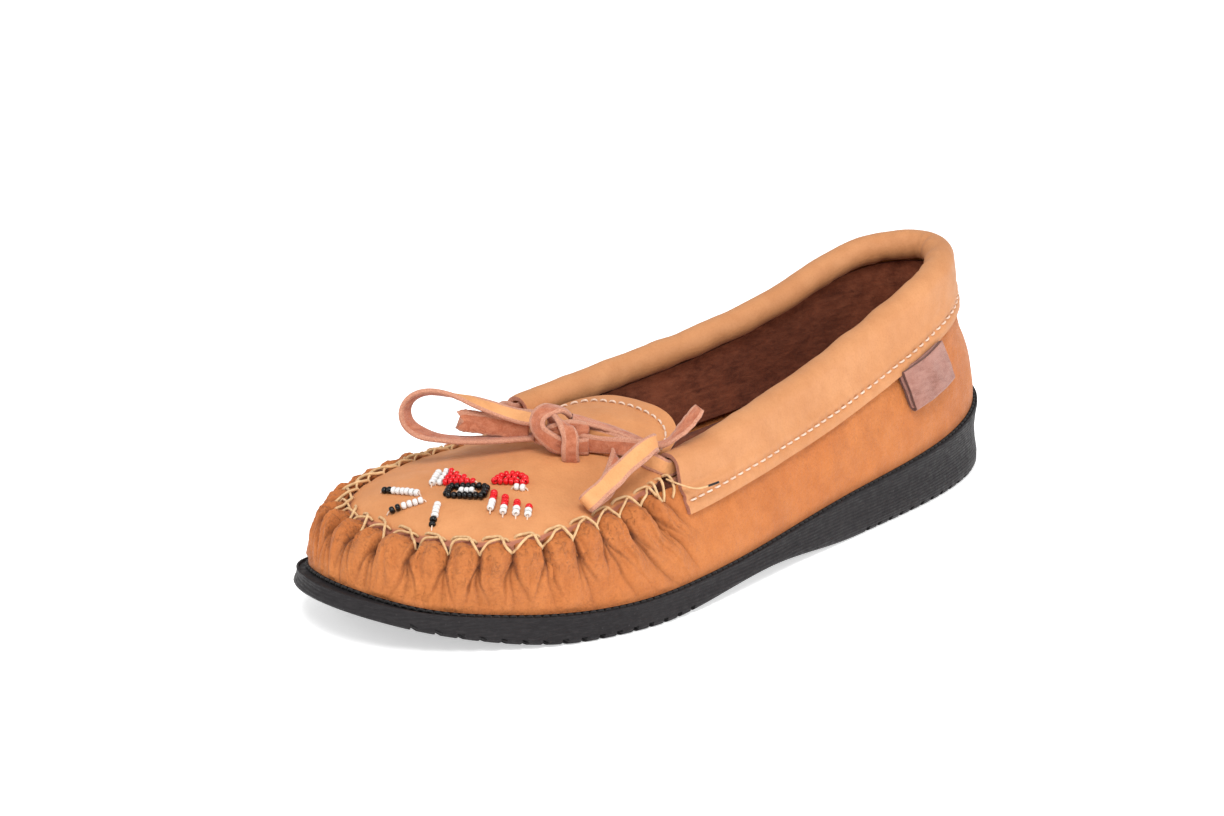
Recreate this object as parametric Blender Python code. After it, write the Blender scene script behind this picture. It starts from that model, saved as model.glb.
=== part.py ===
"""A soft leather moccasin for the left foot, on a black rubber sole.

The toe points along -Y, the heel along +Y and the outer side of the foot along +X.
The origin is on the ground, under the middle of the shoe. Lengths are in millimetres
until make_object() turns them into metres.

The shoe is built round two closed lines: OUTLINE, the edge of the sole, and TOP_EDGE,
the upper edge of the leather wrap. A place on either is a number u: 0 at the toe,
1 at the outer throat, 2 at the back of the heel, 3 at the inner throat, 4 at the toe.
"""

import bmesh
import bpy
import numpy as np

MM = 0.001
GAP = 0.3  # clearance between neighbouring pieces
LENGTH = 250.0
LEDGE = 2.4  # how far the sole stands out past the leather
LEATHER = 1.6  # the wrap and the plug
COLLAR_LEATHER = 1.4
ROLL = 4.5  # outer radius of the rolled collar
LACE_WIDTH, LACE_THICK = 5.4, 1.3
THREAD = 0.4  # radius of the thick waxed thread
FINE_THREAD = 0.35
BEAD = 0.95  # radius of a seed bead
BEAD_PITCH = 1.7
MIDDLE_X = 2.115  # the box's middle, from the line between toe and heel
MOTIF = np.array([6.4, -84.8])  # middle of the beaded box
FOAM, SOCK = 3.0, 1.2  # the footbed's two layers
LINING, COUNTER = 0.9, 0.8
COUNTER_DEPTH = LEATHER + 0.6  # from the wrap's outer face
LINING_DEPTH = COUNTER_DEPTH + COUNTER + 0.5
KNOT = np.array([6.0, -50.0, 46.0])
KNOT_SIZE = np.array([6.2, 5.0, 4.2])
HINGE_Y = -34.5  # where the tongue bends away from the plug

TOE, HEEL = -LENGTH / 2, LENGTH / 2
UP = np.array([0.0, 0.0, 1.0])

# Edge of the sole, toe first, then the outer side, the heel and the inner side.
OUTLINE_POINTS = [
    (-5.5, TOE), (16, -118), (30.4, -100), (42, -75), (47, -50), (46.4, -31), (44, -10),
    (40.3, 12), (36.2, 40), (32.3, 70), (25.1, 100), (14.1, 118.3), (0, HEEL), (-14.3, 118.3),
    (-25.6, 100), (-30, 70), (-30, 40), (-32, 12), (-36, -12), (-39.4, -33), (-42.1, -52),
    (-42.5, -76), (-37.3, -100), (-27, -117),
]  # fmt: skip
OUTLINE_MARKS = (0, 5, 12, 19)

# Upper edge of the wrap: sewn to the plug in front, under the collar behind.
TOP_POINTS = [
    (-9, -108.5, 27.8), (10, -105.8, 28.4), (25, -99.5, 29.9), (35.5, -89, 31.2), (39, -76, 32.1),
    (38, -62, 32.7), (36.3, -47, 33.4), (35.8, -33, 34.4), (34.6, -15, 36.9), (31.2, 10, 40.6),
    (26, 40, 46.1), (22.8, 70, 54.7), (16.7, 100, 63.4), (0, 112.4, 65.4), (-16.6, 100, 63.4),
    (-23.6, 70, 54.2), (-27.3, 40, 45.4), (-31.5, 10, 39.9), (-33.8, -15, 36.9), (-34.2, -35, 34.8),
    (-33, -50, 33.3), (-34.3, -66, 32.6), (-33.8, -82, 31.8), (-30.5, -98, 30), (-22, -106.5, 28.4),
]  # fmt: skip
TOP_MARKS = (0, 7, 13, 19)

SOLE_TOP = [(TOE, 17), (-112, 13.2), (-100, 11), (-80, 8.8), (-60, 8), (-40, 8.3), (-20, 9.3),
            (0, 10.6), (20, 12.2), (40, 13.9), (60, 15.3), (80, 16.8), (100, 19), (HEEL, 24)]  # fmt: skip
PLUG_RIDGE = [(-109, 27.6), (-100, 32.4), (-90, 35.2), (-80, 37), (-70, 38.5), (-60, 40),
              (-50, 41.5), (-40, 43), (-31, 44.4), (-14, 46)]  # fmt: skip


# ---------------------------------------------------------------- curves and surfaces


def spline(knots, values):
    """A natural cubic spline through values at knots, as a function of the knot."""
    x = np.asarray(knots, float)
    y = np.asarray(values, float).reshape(len(x), -1)
    h = np.diff(x)
    system, right = np.eye(len(x)), np.zeros_like(y)
    for i in range(1, len(x) - 1):
        system[i, i - 1 : i + 2] = h[i - 1], 2 * (h[i - 1] + h[i]), h[i]
        right[i] = 6 * ((y[i + 1] - y[i]) / h[i] - (y[i] - y[i - 1]) / h[i - 1])
    bend = np.linalg.solve(system, right)

    def at(t):
        t = np.atleast_1d(np.asarray(t, float))
        i = np.clip(np.searchsorted(x, t) - 1, 0, len(h) - 1)
        a = ((x[i + 1] - t) / h[i])[:, None]
        b = ((t - x[i]) / h[i])[:, None]
        curve = (a**3 - a) * bend[i] + (b**3 - b) * bend[i + 1]
        return a * y[i] + b * y[i + 1] + curve * (h[i] ** 2)[:, None] / 6

    return at


def height(pairs):
    """A smooth height over y, from (y, z) pairs."""
    curve = spline(*zip(*pairs))
    low, high = pairs[0][0], pairs[-1][0]
    return lambda y: curve(np.clip(y, low, high))[:, 0]


def closed_line(points, marks):
    """A smooth closed line through points, as a function of u, whose whole numbers are marks."""
    points = np.asarray(points, float)
    count, wrap = len(points), 4
    chain = np.vstack([points[-wrap:], points, points[: wrap + 1]])
    knots = np.concatenate([[0], np.cumsum(np.linalg.norm(np.diff(chain, axis=0), axis=1))])
    start, end = knots[wrap], knots[wrap + count]
    fine = np.linspace(start, end, 3001)
    dense = spline(knots, chain)(fine)
    run = np.concatenate([[0], np.cumsum(np.linalg.norm(np.diff(dense, axis=0), axis=1))])
    total = run[-1]
    marked = [np.interp(knots[wrap + m], fine, run) for m in marks]
    laps = [m + lap * total for lap in (-1, 0, 1) for m in marked]
    place = spline(np.arange(-4, 8), laps)

    def at(u):
        s = place(np.mod(u, 4.0))[:, 0] % total
        return np.stack([np.interp(s, run, dense[:, k]) for k in range(dense.shape[1])], axis=1)

    return at


outline = closed_line(OUTLINE_POINTS, OUTLINE_MARKS)
top_edge = closed_line(TOP_POINTS, TOP_MARKS)
sole_top = height(SOLE_TOP)
plug_ridge = height(PLUG_RIDGE)


def sole_bottom(y):
    """The underside: toe spring in front, a flat forefoot, a raised waist and a flat heel."""
    y = np.asarray(y, float)
    spring = 10 * np.clip((-72 - y) / 53, 0, 1) ** 2
    waist = np.where((y > -50) & (y < 42), 3.4 * np.sin(np.pi * (y + 50) / 92) ** 2, 0)
    return spring + waist


def outward(u):
    """The horizontal direction away from the shoe at u."""
    step = 0.01
    run = outline(u + step) - outline(u - step)
    run /= np.linalg.norm(run, axis=1)[:, None]
    return np.stack([run[:, 1], -run[:, 0], np.zeros(len(run))], axis=1)


def sole_ring(u, inset, z):
    """The sole's edge moved in by inset, at heights z(y)."""
    flat = outline(u)
    ring = np.column_stack([flat, z(flat[:, 1])])
    return ring - outward(u) * np.reshape(inset, (-1, 1))


def front_share(u):
    """1 along the plug seam, 0 along the collar, and a smooth step at the throat."""
    from_toe = np.minimum(np.mod(u, 4.0), 4 - np.mod(u, 4.0))
    t = np.clip((1.0 - from_toe) / 0.3, 0, 1)
    return t * t * (3 - 2 * t)


def wall(u, v):
    """The wrap's outer face: u round the shoe, v from 0 at the sole to 1 at its upper edge."""
    u, v = np.atleast_1d(u), np.atleast_1d(v)
    foot = sole_ring(u, LEDGE, lambda y: sole_top(y) + GAP)
    top, out = top_edge(u), outward(u)
    rise = top[:, 2] - foot[:, 2]
    lean = ((foot - top) * out).sum(axis=1)
    front = front_share(u)
    belly = foot + out * (1.2 - 0.1 * lean)[:, None] + UP * (0.35 * rise)[:, None]
    shoulder_out = front * (0.6 * lean + 1.6) + (1 - front) * (0.22 * lean + 1.0)
    shoulder_down = rise * (0.02 * front + 0.36 * (1 - front))
    shoulder = top + out * shoulder_out[:, None] - UP * shoulder_down[:, None]
    a, b, c, d = (1 - v) ** 3, 3 * v * (1 - v) ** 2, 3 * v * v * (1 - v), v**3
    parts = zip((a, b, c, d), (foot, belly, shoulder, top))
    return sum(p[:, None, :] * weight[None, :, None] for weight, p in parts)


def wall_normal(u, v):
    """Outward normals of the wall at each u and v."""
    u, v = np.atleast_1d(u), np.atleast_1d(v)
    e = 0.01
    along = wall(u + e, v) - wall(u - e, v)
    low, high = np.clip(v - e, 0, 1), np.clip(v + e, 0, 1)
    rising = wall(u, high) - wall(u, low)
    normal = np.cross(along, rising)
    return normal / np.linalg.norm(normal, axis=2)[:, :, None]


def wall_at_depth(u, v, depth):
    """The wall moved in by depth, or out where depth is below 0."""
    return wall(u, v) - wall_normal(u, v) * depth


def v_below_top(u, drop):
    """For each u, the v that lies drop below the upper edge, along the wall."""
    v = np.linspace(0, 1, 81)
    found = []
    for place, distance in zip(np.atleast_1d(u), np.broadcast_to(drop, np.shape(u))):
        line = wall(place, v)[0][::-1]
        run = np.concatenate([[0], np.cumsum(np.linalg.norm(np.diff(line, axis=0), axis=1))])
        found.append(np.interp(distance, run, v[::-1]))
    return np.array(found)


def v_above_sole(u, rise):
    """For each u, the v whose height above the wall's foot is rise."""
    v = np.linspace(0, 1, 81)
    lines = wall(np.atleast_1d(u), v)[:, :, 2]
    return np.array([np.interp(rise, line - line[0], v) for line in lines])


def between(u, low, high, count):
    """A grid of points on the wall: count places in v from low to high at each u."""
    return [np.linspace(a, b, count) for a, b in zip(low, high)]


def wall_patch(u, low, high, count, depth):
    """Wall points at depth, with v from low to high (both per u), as a grid."""
    rows = between(u, low, high, count)
    return np.array([wall_at_depth(p, v, depth)[0] for p, v in zip(u, rows)])


# ---------------------------------------------------------------- meshes and objects


def clear_scene():
    for old in list(bpy.data.objects):
        bpy.data.objects.remove(old, do_unlink=True)


def leather(name, colour, roughness=0.6):
    """A plain Principled material."""
    material = bpy.data.materials.get(name) or bpy.data.materials.new(name)
    material.use_nodes = True
    shader = material.node_tree.nodes["Principled BSDF"]
    shader.inputs["Base Color"].default_value = (*colour, 1)
    shader.inputs["Roughness"].default_value = roughness
    shader.inputs["Metallic"].default_value = 0.0
    return material


def make_object(name, points, faces, material, origin=None):
    """One closed mesh object. origin is where its joint's axis is, in millimetres."""
    place = np.zeros(3) if origin is None else np.asarray(origin, float)
    mesh = bpy.data.meshes.new(name)
    mesh.from_pydata([tuple((np.asarray(p) - place) * MM) for p in points], [], faces)
    work = bmesh.new()
    work.from_mesh(mesh)
    bmesh.ops.remove_doubles(work, verts=work.verts, dist=1e-7)
    bmesh.ops.recalc_face_normals(work, faces=work.faces)
    work.to_mesh(mesh)
    work.free()
    mesh.shade_smooth()
    mesh.set_sharp_from_angle(angle=np.radians(40))
    mesh.materials.append(material)
    obj = bpy.data.objects.new(name, mesh)
    obj.location = place * MM
    bpy.context.scene.collection.objects.link(obj)
    return obj


def ladder(first, count):
    """Faces that fill a ring whose toe is point 0 and whose heel is point count / 2."""
    rungs = [(first + i, first + i + 1, first + count - i - 1, first + (count - i) % count)
             for i in range(count // 2)]  # fmt: skip
    return [tuple(dict.fromkeys(face)) for face in rungs]


def loft(name, rings, material, closed=False):
    """A solid skinned over closed rings. Its end rings are filled across, or joined if closed."""
    count, last = len(rings[0]), len(rings)
    faces = []
    for k in range(last if closed else last - 1):
        here, there = k * count, (k + 1) % last * count
        for i in range(count):
            j = (i + 1) % count
            faces.append((here + i, here + j, there + j, there + i))
    if not closed:
        faces += ladder(0, count) + ladder((last - 1) * count, count)
    return make_object(name, np.vstack(rings), faces, material)


def plate(name, front, back, material, origin=None):
    """A solid between two grids of points of the same size."""
    rows, columns = front.shape[:2]
    half = rows * columns

    def quads(base):
        return [
            (base + r * columns + c, base + r * columns + c + 1,
             base + (r + 1) * columns + c + 1, base + (r + 1) * columns + c)
            for r in range(rows - 1)
            for c in range(columns - 1)
        ]  # fmt: skip

    rim = [r * columns for r in range(rows)]
    rim += [(rows - 1) * columns + c for c in range(1, columns)]
    rim += [r * columns + columns - 1 for r in range(rows - 2, -1, -1)]
    rim += list(range(columns - 2, 0, -1))
    walls = [(a, b, b + half, a + half) for a, b in zip(rim, rim[1:] + rim[:1])]
    points = np.vstack([front.reshape(-1, 3), back.reshape(-1, 3)])
    return make_object(name, points, quads(0) + quads(half) + walls, material, origin)


def tube(name, points, radius, material, closed=False, origin=None):
    """A round thread or cord along points, as a curve with a bevel."""
    place = np.zeros(3) if origin is None else np.asarray(origin, float)
    data = bpy.data.curves.new(name, "CURVE")
    data.dimensions = "3D"
    data.bevel_depth = radius * MM
    data.bevel_resolution = 0
    data.use_fill_caps = not closed
    line = data.splines.new("POLY")
    line.points.add(len(points) - 1)
    for spot, point in zip(line.points, points):
        spot.co = (*((np.asarray(point) - place) * MM), 1)
    line.use_cyclic_u = closed
    data.materials.append(material)
    obj = bpy.data.objects.new(name, data)
    obj.location = place * MM
    bpy.context.scene.collection.objects.link(obj)
    return obj


def smooth_path(points, count):
    """count points evenly spaced along a smooth curve through points."""
    points = np.asarray(points, float)
    knots = np.concatenate([[0], np.cumsum(np.linalg.norm(np.diff(points, axis=0), axis=1))])
    dense = spline(knots, points)(np.linspace(0, knots[-1], 600))
    run = np.concatenate([[0], np.cumsum(np.linalg.norm(np.diff(dense, axis=0), axis=1))])
    s = np.linspace(0, run[-1], count)
    return np.stack([np.interp(s, run, dense[:, k]) for k in range(3)], axis=1)


def strip(name, path, across, material, origin=None):
    """A flat lace along path. across is the direction of its width at each point."""
    run = np.gradient(path, axis=0)
    run /= np.linalg.norm(run, axis=1)[:, None]
    side = across - (across * run).sum(axis=1)[:, None] * run
    side /= np.linalg.norm(side, axis=1)[:, None]
    face = np.cross(run, side)
    edges = [path - side * LACE_WIDTH / 2, path + side * LACE_WIDTH / 2]
    front = np.stack([e + face * LACE_THICK / 2 for e in edges], axis=1)
    back = np.stack([e - face * LACE_THICK / 2 for e in edges], axis=1)
    return plate(name, front, back, material, origin)


# ---------------------------------------------------------------- sole and footbed


def make_outsole(rubber):
    u = np.arange(72) / 18.0
    levels = [  # share of the thickness, inset
        (0.0, 1.5), (0.15, 0.1), (0.4, 0.2), (0.72, 0.9), (1.0, 1.0),
    ]  # fmt: skip
    rings = []
    for share, inset in levels:
        rings.append(
            sole_ring(u, inset, lambda y, s=share: sole_bottom(y) + s * (sole_top(y) - sole_bottom(y)))
        )
    sole = loft("outsole", rings, rubber)
    cutter = make_tread_cutter(rubber)
    cut = sole.modifiers.new("tread", "BOOLEAN")
    cut.operation = "DIFFERENCE"
    cut.object = cutter
    return sole


def make_tread_cutter(material):
    """One bar for each groove across the tread."""
    width, depth, reach = 2.2, 1.6, 60.0
    places = [*np.arange(-110.0, -42.0, 8.0), *np.arange(50.0, 120.0, 9.0)]
    points, faces = [], []
    for y in places:
        base = len(points)
        for x in (-reach, reach):
            for dy in (-width / 2, width / 2):
                roof = sole_bottom(y + dy) + depth
                points += [(x, y + dy, -5.0), (x, y + dy, float(roof))]
        a, b, c, d, e, f, g, h = range(base, base + 8)
        faces += [(a, b, d, c), (e, g, h, f), (a, e, f, b), (c, d, h, g), (b, f, h, d), (a, c, g, e)]
    cutter = make_object("tread_cutter", points, faces, material)
    cutter.hide_render = True
    cutter.display_type = "WIRE"
    return cutter


def make_sole_stitching(thread):
    u = np.arange(96) / 24.0
    ring = sole_ring(u, 1.0, lambda y: sole_top(y) + GAP + THREAD)
    return tube("sole_stitching", ring, THREAD, thread, closed=True)


def footbed_ring(u, inset, rise):
    """A ring inside the wrap, rise above its floor."""
    return sole_ring(u, inset, lambda y: sole_top(y) + GAP + LEATHER + rise)


def make_footbed(foam, suede):
    u = np.arange(56) / 14.0
    from_toe = np.minimum(u, 4 - u)
    toe_room = np.interp(from_toe, [0, 0.14, 0.25, 0.4], [3.8, 3.6, 1.4, 0])
    inset = LEDGE + 3.2 + toe_room
    low, high = GAP, GAP + FOAM
    loft("footbed_foam", [footbed_ring(u, inset, low), footbed_ring(u, inset, high)], foam)
    low, high = high + GAP, high + GAP + SOCK
    loft("footbed_cover", [footbed_ring(u, inset, low), footbed_ring(u, inset, high)], suede)


# ---------------------------------------------------------------- leather upper


def make_wrap(hide):
    """The moccasin's own leather: floor, toe, sides and heel in one piece."""
    u = np.arange(64) / 16.0
    v = np.array([0, 0.1, 0.25, 0.45, 0.65, 0.82, 1.0])
    outer = wall_at_depth(u, v, 0.0)
    inner = wall_at_depth(u, v, LEATHER)
    floor = sole_ring(u, LEDGE + LEATHER, lambda y: sole_top(y) + GAP + LEATHER)
    rings = [floor]
    rings += [inner[:, k] for k in range(2, len(v))]
    rings += [outer[:, k] for k in range(len(v) - 1, -1, -1)]
    return loft("wrap", rings, hide)


def make_lining(suede, board):
    u = np.arange(17, 48) / 16.0
    low = v_above_sole(u, LEATHER + FOAM + SOCK + 3 * GAP + 1.0)
    high = v_below_top(u, np.full(len(u), 0.8))
    outer = wall_patch(u, low, high, 5, LINING_DEPTH)
    inner = wall_patch(u, low, high, 5, LINING_DEPTH + LINING)
    plate("quarter_lining", outer, inner, suede)
    u = np.arange(26, 39) / 16.0
    low = v_above_sole(u, LEATHER + FOAM + SOCK + 3 * GAP + 1.0)
    high = v_below_top(u, np.full(len(u), 12.0))
    outer = wall_patch(u, low, high, 5, COUNTER_DEPTH)
    inner = wall_patch(u, low, high, 5, COUNTER_DEPTH + COUNTER)
    plate("heel_counter", outer, inner, board)


def crown(y, x):
    """Height of the plug and tongue over (x, y): a ridge that falls away to both sides."""
    y, x = np.broadcast_arrays(np.asarray(y, float), np.asarray(x, float))
    ridge = plug_ridge(y.ravel()).reshape(y.shape)
    fall = np.interp(y, [-110, -95, -80, -60, -31, -14], [0.0042, 0.0045, 0.0045, 0.0062, 0.0084, 0.0072])
    return ridge - fall * (x - 1.0) ** 2


def seam_inside(u):
    """The plug's edge: just inside the wrap's upper edge."""
    edge = top_edge(u)
    inward = -outward(u)
    return edge + inward * (LEATHER + 2 * GAP)


def make_plug(hide):
    """The top panel, from the toe seam to where the tongue starts."""
    rungs, across = 20, 9
    u = 0.02 + 0.94 * np.linspace(0, 1, rungs) ** 1.1
    left, right = seam_inside(u), seam_inside(4 - u)
    last = HINGE_Y - GAP
    for side in (left, right):
        side[-1, 1] = last
    w = (1 - np.cos(np.pi * np.linspace(0, 1, across))) / 2
    flat = left[:, None, :] * (1 - w)[None, :, None] + right[:, None, :] * w[None, :, None]
    bulge = 4 * w * (1 - w)
    middle = plug_ridge(flat[:, across // 2, 1]) - flat[:, across // 2, 2]
    top = flat + UP * (middle[:, None] * bulge[None, :])[:, :, None]
    return plate("plug", top, top - UP * LEATHER, hide)


def make_tongue(hide, thread):
    """The free rear end of the plug, which lifts about its front edge, and its stitching."""
    rows, across = 8, 9
    t = np.linspace(0, 1, rows)
    half = 25.6 - 6.1 * t**1.4 - 5.0 * np.clip((t - 0.75) / 0.25, 0, 1) ** 2
    w = np.linspace(-1, 1, across)
    x = 0.5 + half[:, None] * w[None, :]
    back = -14.5 - 4.0 * np.abs(w) ** 2.5
    y = (HINGE_Y + GAP) + (back[None, :] - HINGE_Y) * t[:, None]
    top = np.stack([x, y, crown(y, x)], axis=2)
    hinge = (0.0, HINGE_Y, float(crown(HINGE_Y, 0.0)))
    plate("tongue", top, top - UP * LEATHER, hide, origin=hinge)
    inset = 2.6
    side = [(half_width - inset, yy) for half_width, yy in ((25.0, -31.5), (23.4, -26.0), (21.2, -21.6))]
    end = [(17.0, -19.0), (9.0, -17.6), (0.0, -17.2)]
    path = [(0.5 + px, py) for px, py in side + end]
    path += [(0.5 - px, py) for px, py in (side + end)[-2::-1]]
    xy = np.array(path)
    line = np.column_stack([xy, crown(xy[:, 1], xy[:, 0]) + GAP + FINE_THREAD + 0.15])
    tube("tongue_stitching", smooth_path(line, 40), FINE_THREAD, thread, origin=hinge)


# ---------------------------------------------------------------- collar


def collar_frame(u):
    """Top of the wall, its outward normal, its upward direction and the roll's centre."""
    top = wall(u, 1.0)[:, 0]
    normal = wall_normal(u, 1.0)[:, 0]
    rising = top - wall(u, 0.97)[:, 0]
    rising /= np.linalg.norm(rising, axis=1)[:, None]
    centre = top + rising * (ROLL + GAP) - normal * (ROLL - COLLAR_LEATHER - GAP)
    return top, normal, rising, centre


def flap_length(u):
    """How far the collar's flap hangs below the wrap's upper edge."""
    return np.interp(u, [1.0, 1.3, 1.7, 2.3, 2.7, 3.0], [8.8, 9.5, 11.5, 11.5, 9.5, 8.8])


def collar_sections(u, flap_points, arc_points, spread):
    """Points across the collar's strip at each u, moved out by spread from its middle."""
    _, normal, rising, centre = collar_frame(u)
    v_low = v_below_top(u, flap_length(u))
    flap = wall_patch(u, v_low, np.ones(len(u)), flap_points, -(GAP + COLLAR_LEATHER / 2 + spread))
    turn = np.radians(np.linspace(0, 282, arc_points))
    radius = ROLL - COLLAR_LEATHER / 2 + spread
    arc = centre[:, None, :] + radius * (
        normal[:, None, :] * np.cos(turn)[None, :, None] + rising[:, None, :] * np.sin(turn)[None, :, None]
    )
    return np.concatenate([flap, arc], axis=1)


def make_collar(hide, thread):
    """The rolled collar, which is also the tunnel for the lace."""
    u = np.linspace(1.0, 3.0, 37)
    outer = collar_sections(u, 4, 11, COLLAR_LEATHER / 2)
    inner = collar_sections(u, 4, 11, -COLLAR_LEATHER / 2)
    plate("collar", outer, inner, hide)
    u = np.linspace(1.03, 2.97, 60)
    v = v_below_top(u, flap_length(u) - 3.6)
    out = 3 * GAP + COLLAR_LEATHER + FINE_THREAD
    line = np.array([wall_at_depth(a, b, -out)[0, 0] for a, b in zip(u, v)])
    tube("collar_stitching", line, FINE_THREAD, thread)


def make_heel_seam(thread):
    v = np.linspace(0.1, float(v_below_top([2.0], flap_length([2.0]) + 1.5)[0]), 8)
    line = wall_at_depth(2.0, v, -(GAP + THREAD))[0]
    tube("heel_seam_stitching", line, THREAD, thread)


def tab_place():
    """Top middle of the heel tab, its width direction, its hanging direction and its outward one."""
    u = np.array([1.725])
    low = float(v_below_top(u, flap_length(u) + 0.6)[0])
    top = wall_at_depth(u, low, -2.6)[0, 0]
    out = outward(u)[0]
    along = wall(u + 0.03, low)[0, 0] - wall(u - 0.03, low)[0, 0]
    along /= np.linalg.norm(along)
    slope = wall(u, low - 0.15)[0, 0] - wall(u, low)[0, 0]
    down = slope / np.linalg.norm(slope) + out * 0.08
    down -= along * (down @ along)
    return top, along, down / np.linalg.norm(down), out


def make_heel_tab(suede):
    """A strip folded double, whose two ends are sewn in under the collar."""
    top, along, down, out = tab_place()
    width, drop, half_gap, thick = 21.0, 11.5, 0.75, 1.1
    turn = np.radians(np.linspace(0, 180, 5))
    middle = [top + out * half_gap, top + out * half_gap + down * (drop - 3)]
    middle += [top + down * (drop - 3 + 3 * np.sin(a)) + out * half_gap * np.cos(a) for a in turn]
    middle += [top - out * half_gap]
    path = np.array(middle)
    keep = np.concatenate([[True], np.linalg.norm(np.diff(path, axis=0), axis=1) > 1e-6])
    path = path[keep]
    run = np.gradient(path, axis=0)
    face = np.cross(run, along)
    face /= np.linalg.norm(face, axis=1)[:, None]
    thick = np.full(len(path), thick)[:, None]
    edges = [path - along * width / 2, path + along * width / 2]
    front = np.stack([e + face * thick / 2 for e in edges], axis=1)
    back = np.stack([e - face * thick / 2 for e in edges], axis=1)
    return plate("heel_tab", front, back, suede, origin=top)


# ---------------------------------------------------------------- lace and bow

# The bow is drawn as (left, up) pairs in an upright plane through the knot, which
# runs across the shoe towards the inner side of the toe.
BOW_LEFT = np.array([-0.69, -0.72, 0.0]) / np.hypot(0.69, 0.72)
BOW_ACROSS = np.array([0.72, -0.69, 0.0]) / np.hypot(0.69, 0.72)


def bow_point(left, up):
    return KNOT + BOW_LEFT * left + UP * up


def make_lace_run(hide):
    """From the knot through the whole collar and back: one strip, held all the way."""
    u = np.linspace(1.02, 2.98, 44)
    _, _, rising, centre = collar_frame(u)
    leads = []
    for end, following, points in (
        (centre[0], centre[1], [(12.8, -51.5, 45.0), (19, -50.2, 42.8), (26.5, -47, 40.8)]),
        (centre[-1], centre[-2], [(-0.8, -48.6, 46.6), (-9, -48.5, 45.6), (-20, -48.2, 43.0)]),
    ):
        ahead = (end - following) / np.linalg.norm(end - following)
        points = [*points, end + ahead * 8.0 + UP * 2.4, end + ahead * 3.6 + UP * 0.2]
        leads.append(smooth_path(points, 9))
    path = np.vstack([leads[0], centre, leads[1][::-1]])
    across = np.vstack([np.tile(UP, (9, 1)), rising, np.tile(UP, (9, 1))])
    return strip("lace_run", path, across, hide)


def make_knot(hide):
    """The knot's outer shape, a squat round lump."""
    mesh = bpy.data.meshes.new("lace_knot")
    work = bmesh.new()
    bmesh.ops.create_uvsphere(work, u_segments=14, v_segments=9, radius=1.0)
    for vertex in work.verts:
        vertex.co = [c * s * MM for c, s in zip(vertex.co, KNOT_SIZE)]
    work.to_mesh(mesh)
    work.free()
    mesh.shade_smooth()
    mesh.materials.append(hide)
    obj = bpy.data.objects.new("lace_knot", mesh)
    obj.location = KNOT * MM
    bpy.context.scene.collection.objects.link(obj)


def make_left_loop(hide):
    """A standing loop on the inner side, with one loose end lying inside it."""
    shape = [(7.6, 4.2), (17.3, 6.6), (26, 9.2), (34.7, 11.2), (41, 9.8), (44, 5.4), (42.6, 1.0),
             (37.6, -2.0), (31, -3.4), (22, -3.8), (13, -3.2), (7.6, -2.4)]  # fmt: skip
    path = smooth_path([bow_point(*p) for p in shape], 40)
    strip("lace_loop_left", path, np.tile(BOW_ACROSS, (40, 1)), hide, origin=KNOT)
    shape = [(9.5, 1.1), (16, 1.5), (23, 2.6), (31, 4.0)]
    path = smooth_path([bow_point(*p) for p in shape], 10)
    strip("lace_end_left", path, np.tile(UP, (10, 1)), hide, origin=KNOT)


def make_right_loop(hide):
    """A loop that stands beside the knot, turns over the collar's end and flops forward."""
    route = [  # place, direction of the strip's width
        ((13.6, -46.6, 46.0), (0, 0, 1)), ((20, -42.8, 45.0), (0, 0, 1)),
        ((26, -38.6, 45.0), (0.2, 0, 1)), ((29.6, -36.6, 46.6), (0.7, 0.3, 0.7)),
        ((31.4, -37.4, 48.6), (1, 0.3, 0.2)), ((32.2, -41.5, 48.2), (1, 0.1, 0)),
        ((33, -50, 44.6), (1, 0.1, 0)), ((33.8, -58, 41.2), (1, 0.1, 0)),
        ((34.4, -64.4, 39.4), (1, 0.1, 0)), ((34.4, -67.0, 38.1), (1, 0.1, 0)),
        ((33.6, -64.8, 36.8), (1, 0.1, 0)), ((31.6, -58, 38.6), (1, 0.1, 0)),
        ((29.4, -53.0, 42.6), (1, 0.2, 0)), ((24.5, -50.2, 47.4), (0.7, 0.8, 0)),
        ((18, -49.2, 49.2), (0.1, 1, 0)), ((13.2, -49.4, 48.6), (0, 1, 0)),
    ]  # fmt: skip
    place = smooth_path([p for p, _ in route], 48)
    share = np.linspace(0, 1, len(route))
    across = spline(share, [a for _, a in route])(np.linspace(0, 1, 48))
    strip("lace_loop_right", place, across, hide, origin=KNOT)


def make_right_end(hide):
    """The other loose end, which runs over the outer throat and curls up."""
    shape = [(9.5, -42.8, 47.4), (15, -36.6, 46.4), (23, -32.4, 45.8), (28.6, -28.6, 47.0),
             (31.4, -23.4, 50.0), (32.6, -18.4, 53.6)]  # fmt: skip
    path = smooth_path(shape, 16)
    strip("lace_end_right", path, np.tile(BOW_ACROSS, (16, 1)), hide, origin=KNOT)


# ---------------------------------------------------------------- thread and beads


def make_pucker_thread(thread):
    """The waxed thread that gathers the wrap onto the plug, over and under the seam."""
    stitches = 28
    points = []
    for k in range(stitches * 2 + 1):
        u = np.array([-0.96 + 1.92 * k / (stitches * 2)])
        edge, inward = top_edge(u)[0], -outward(u)[0]
        lift = GAP + THREAD
        ridge = edge + (wall_normal(u, 1.0)[0, 0] + UP) * (lift + 0.1)
        if k % 2:
            inside = edge + inward * 3.4
            rise = np.interp(3.4, [0, 4], [0, 1.6])
            points += [ridge, inside + UP * (rise + lift + 0.6)]
        else:
            v = v_below_top(u, np.array([2.6]))
            points += [ridge, wall_at_depth(u, v, -(lift + 0.2))[0, 0]]
    return tube("pucker_thread", points, THREAD, thread)


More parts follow.
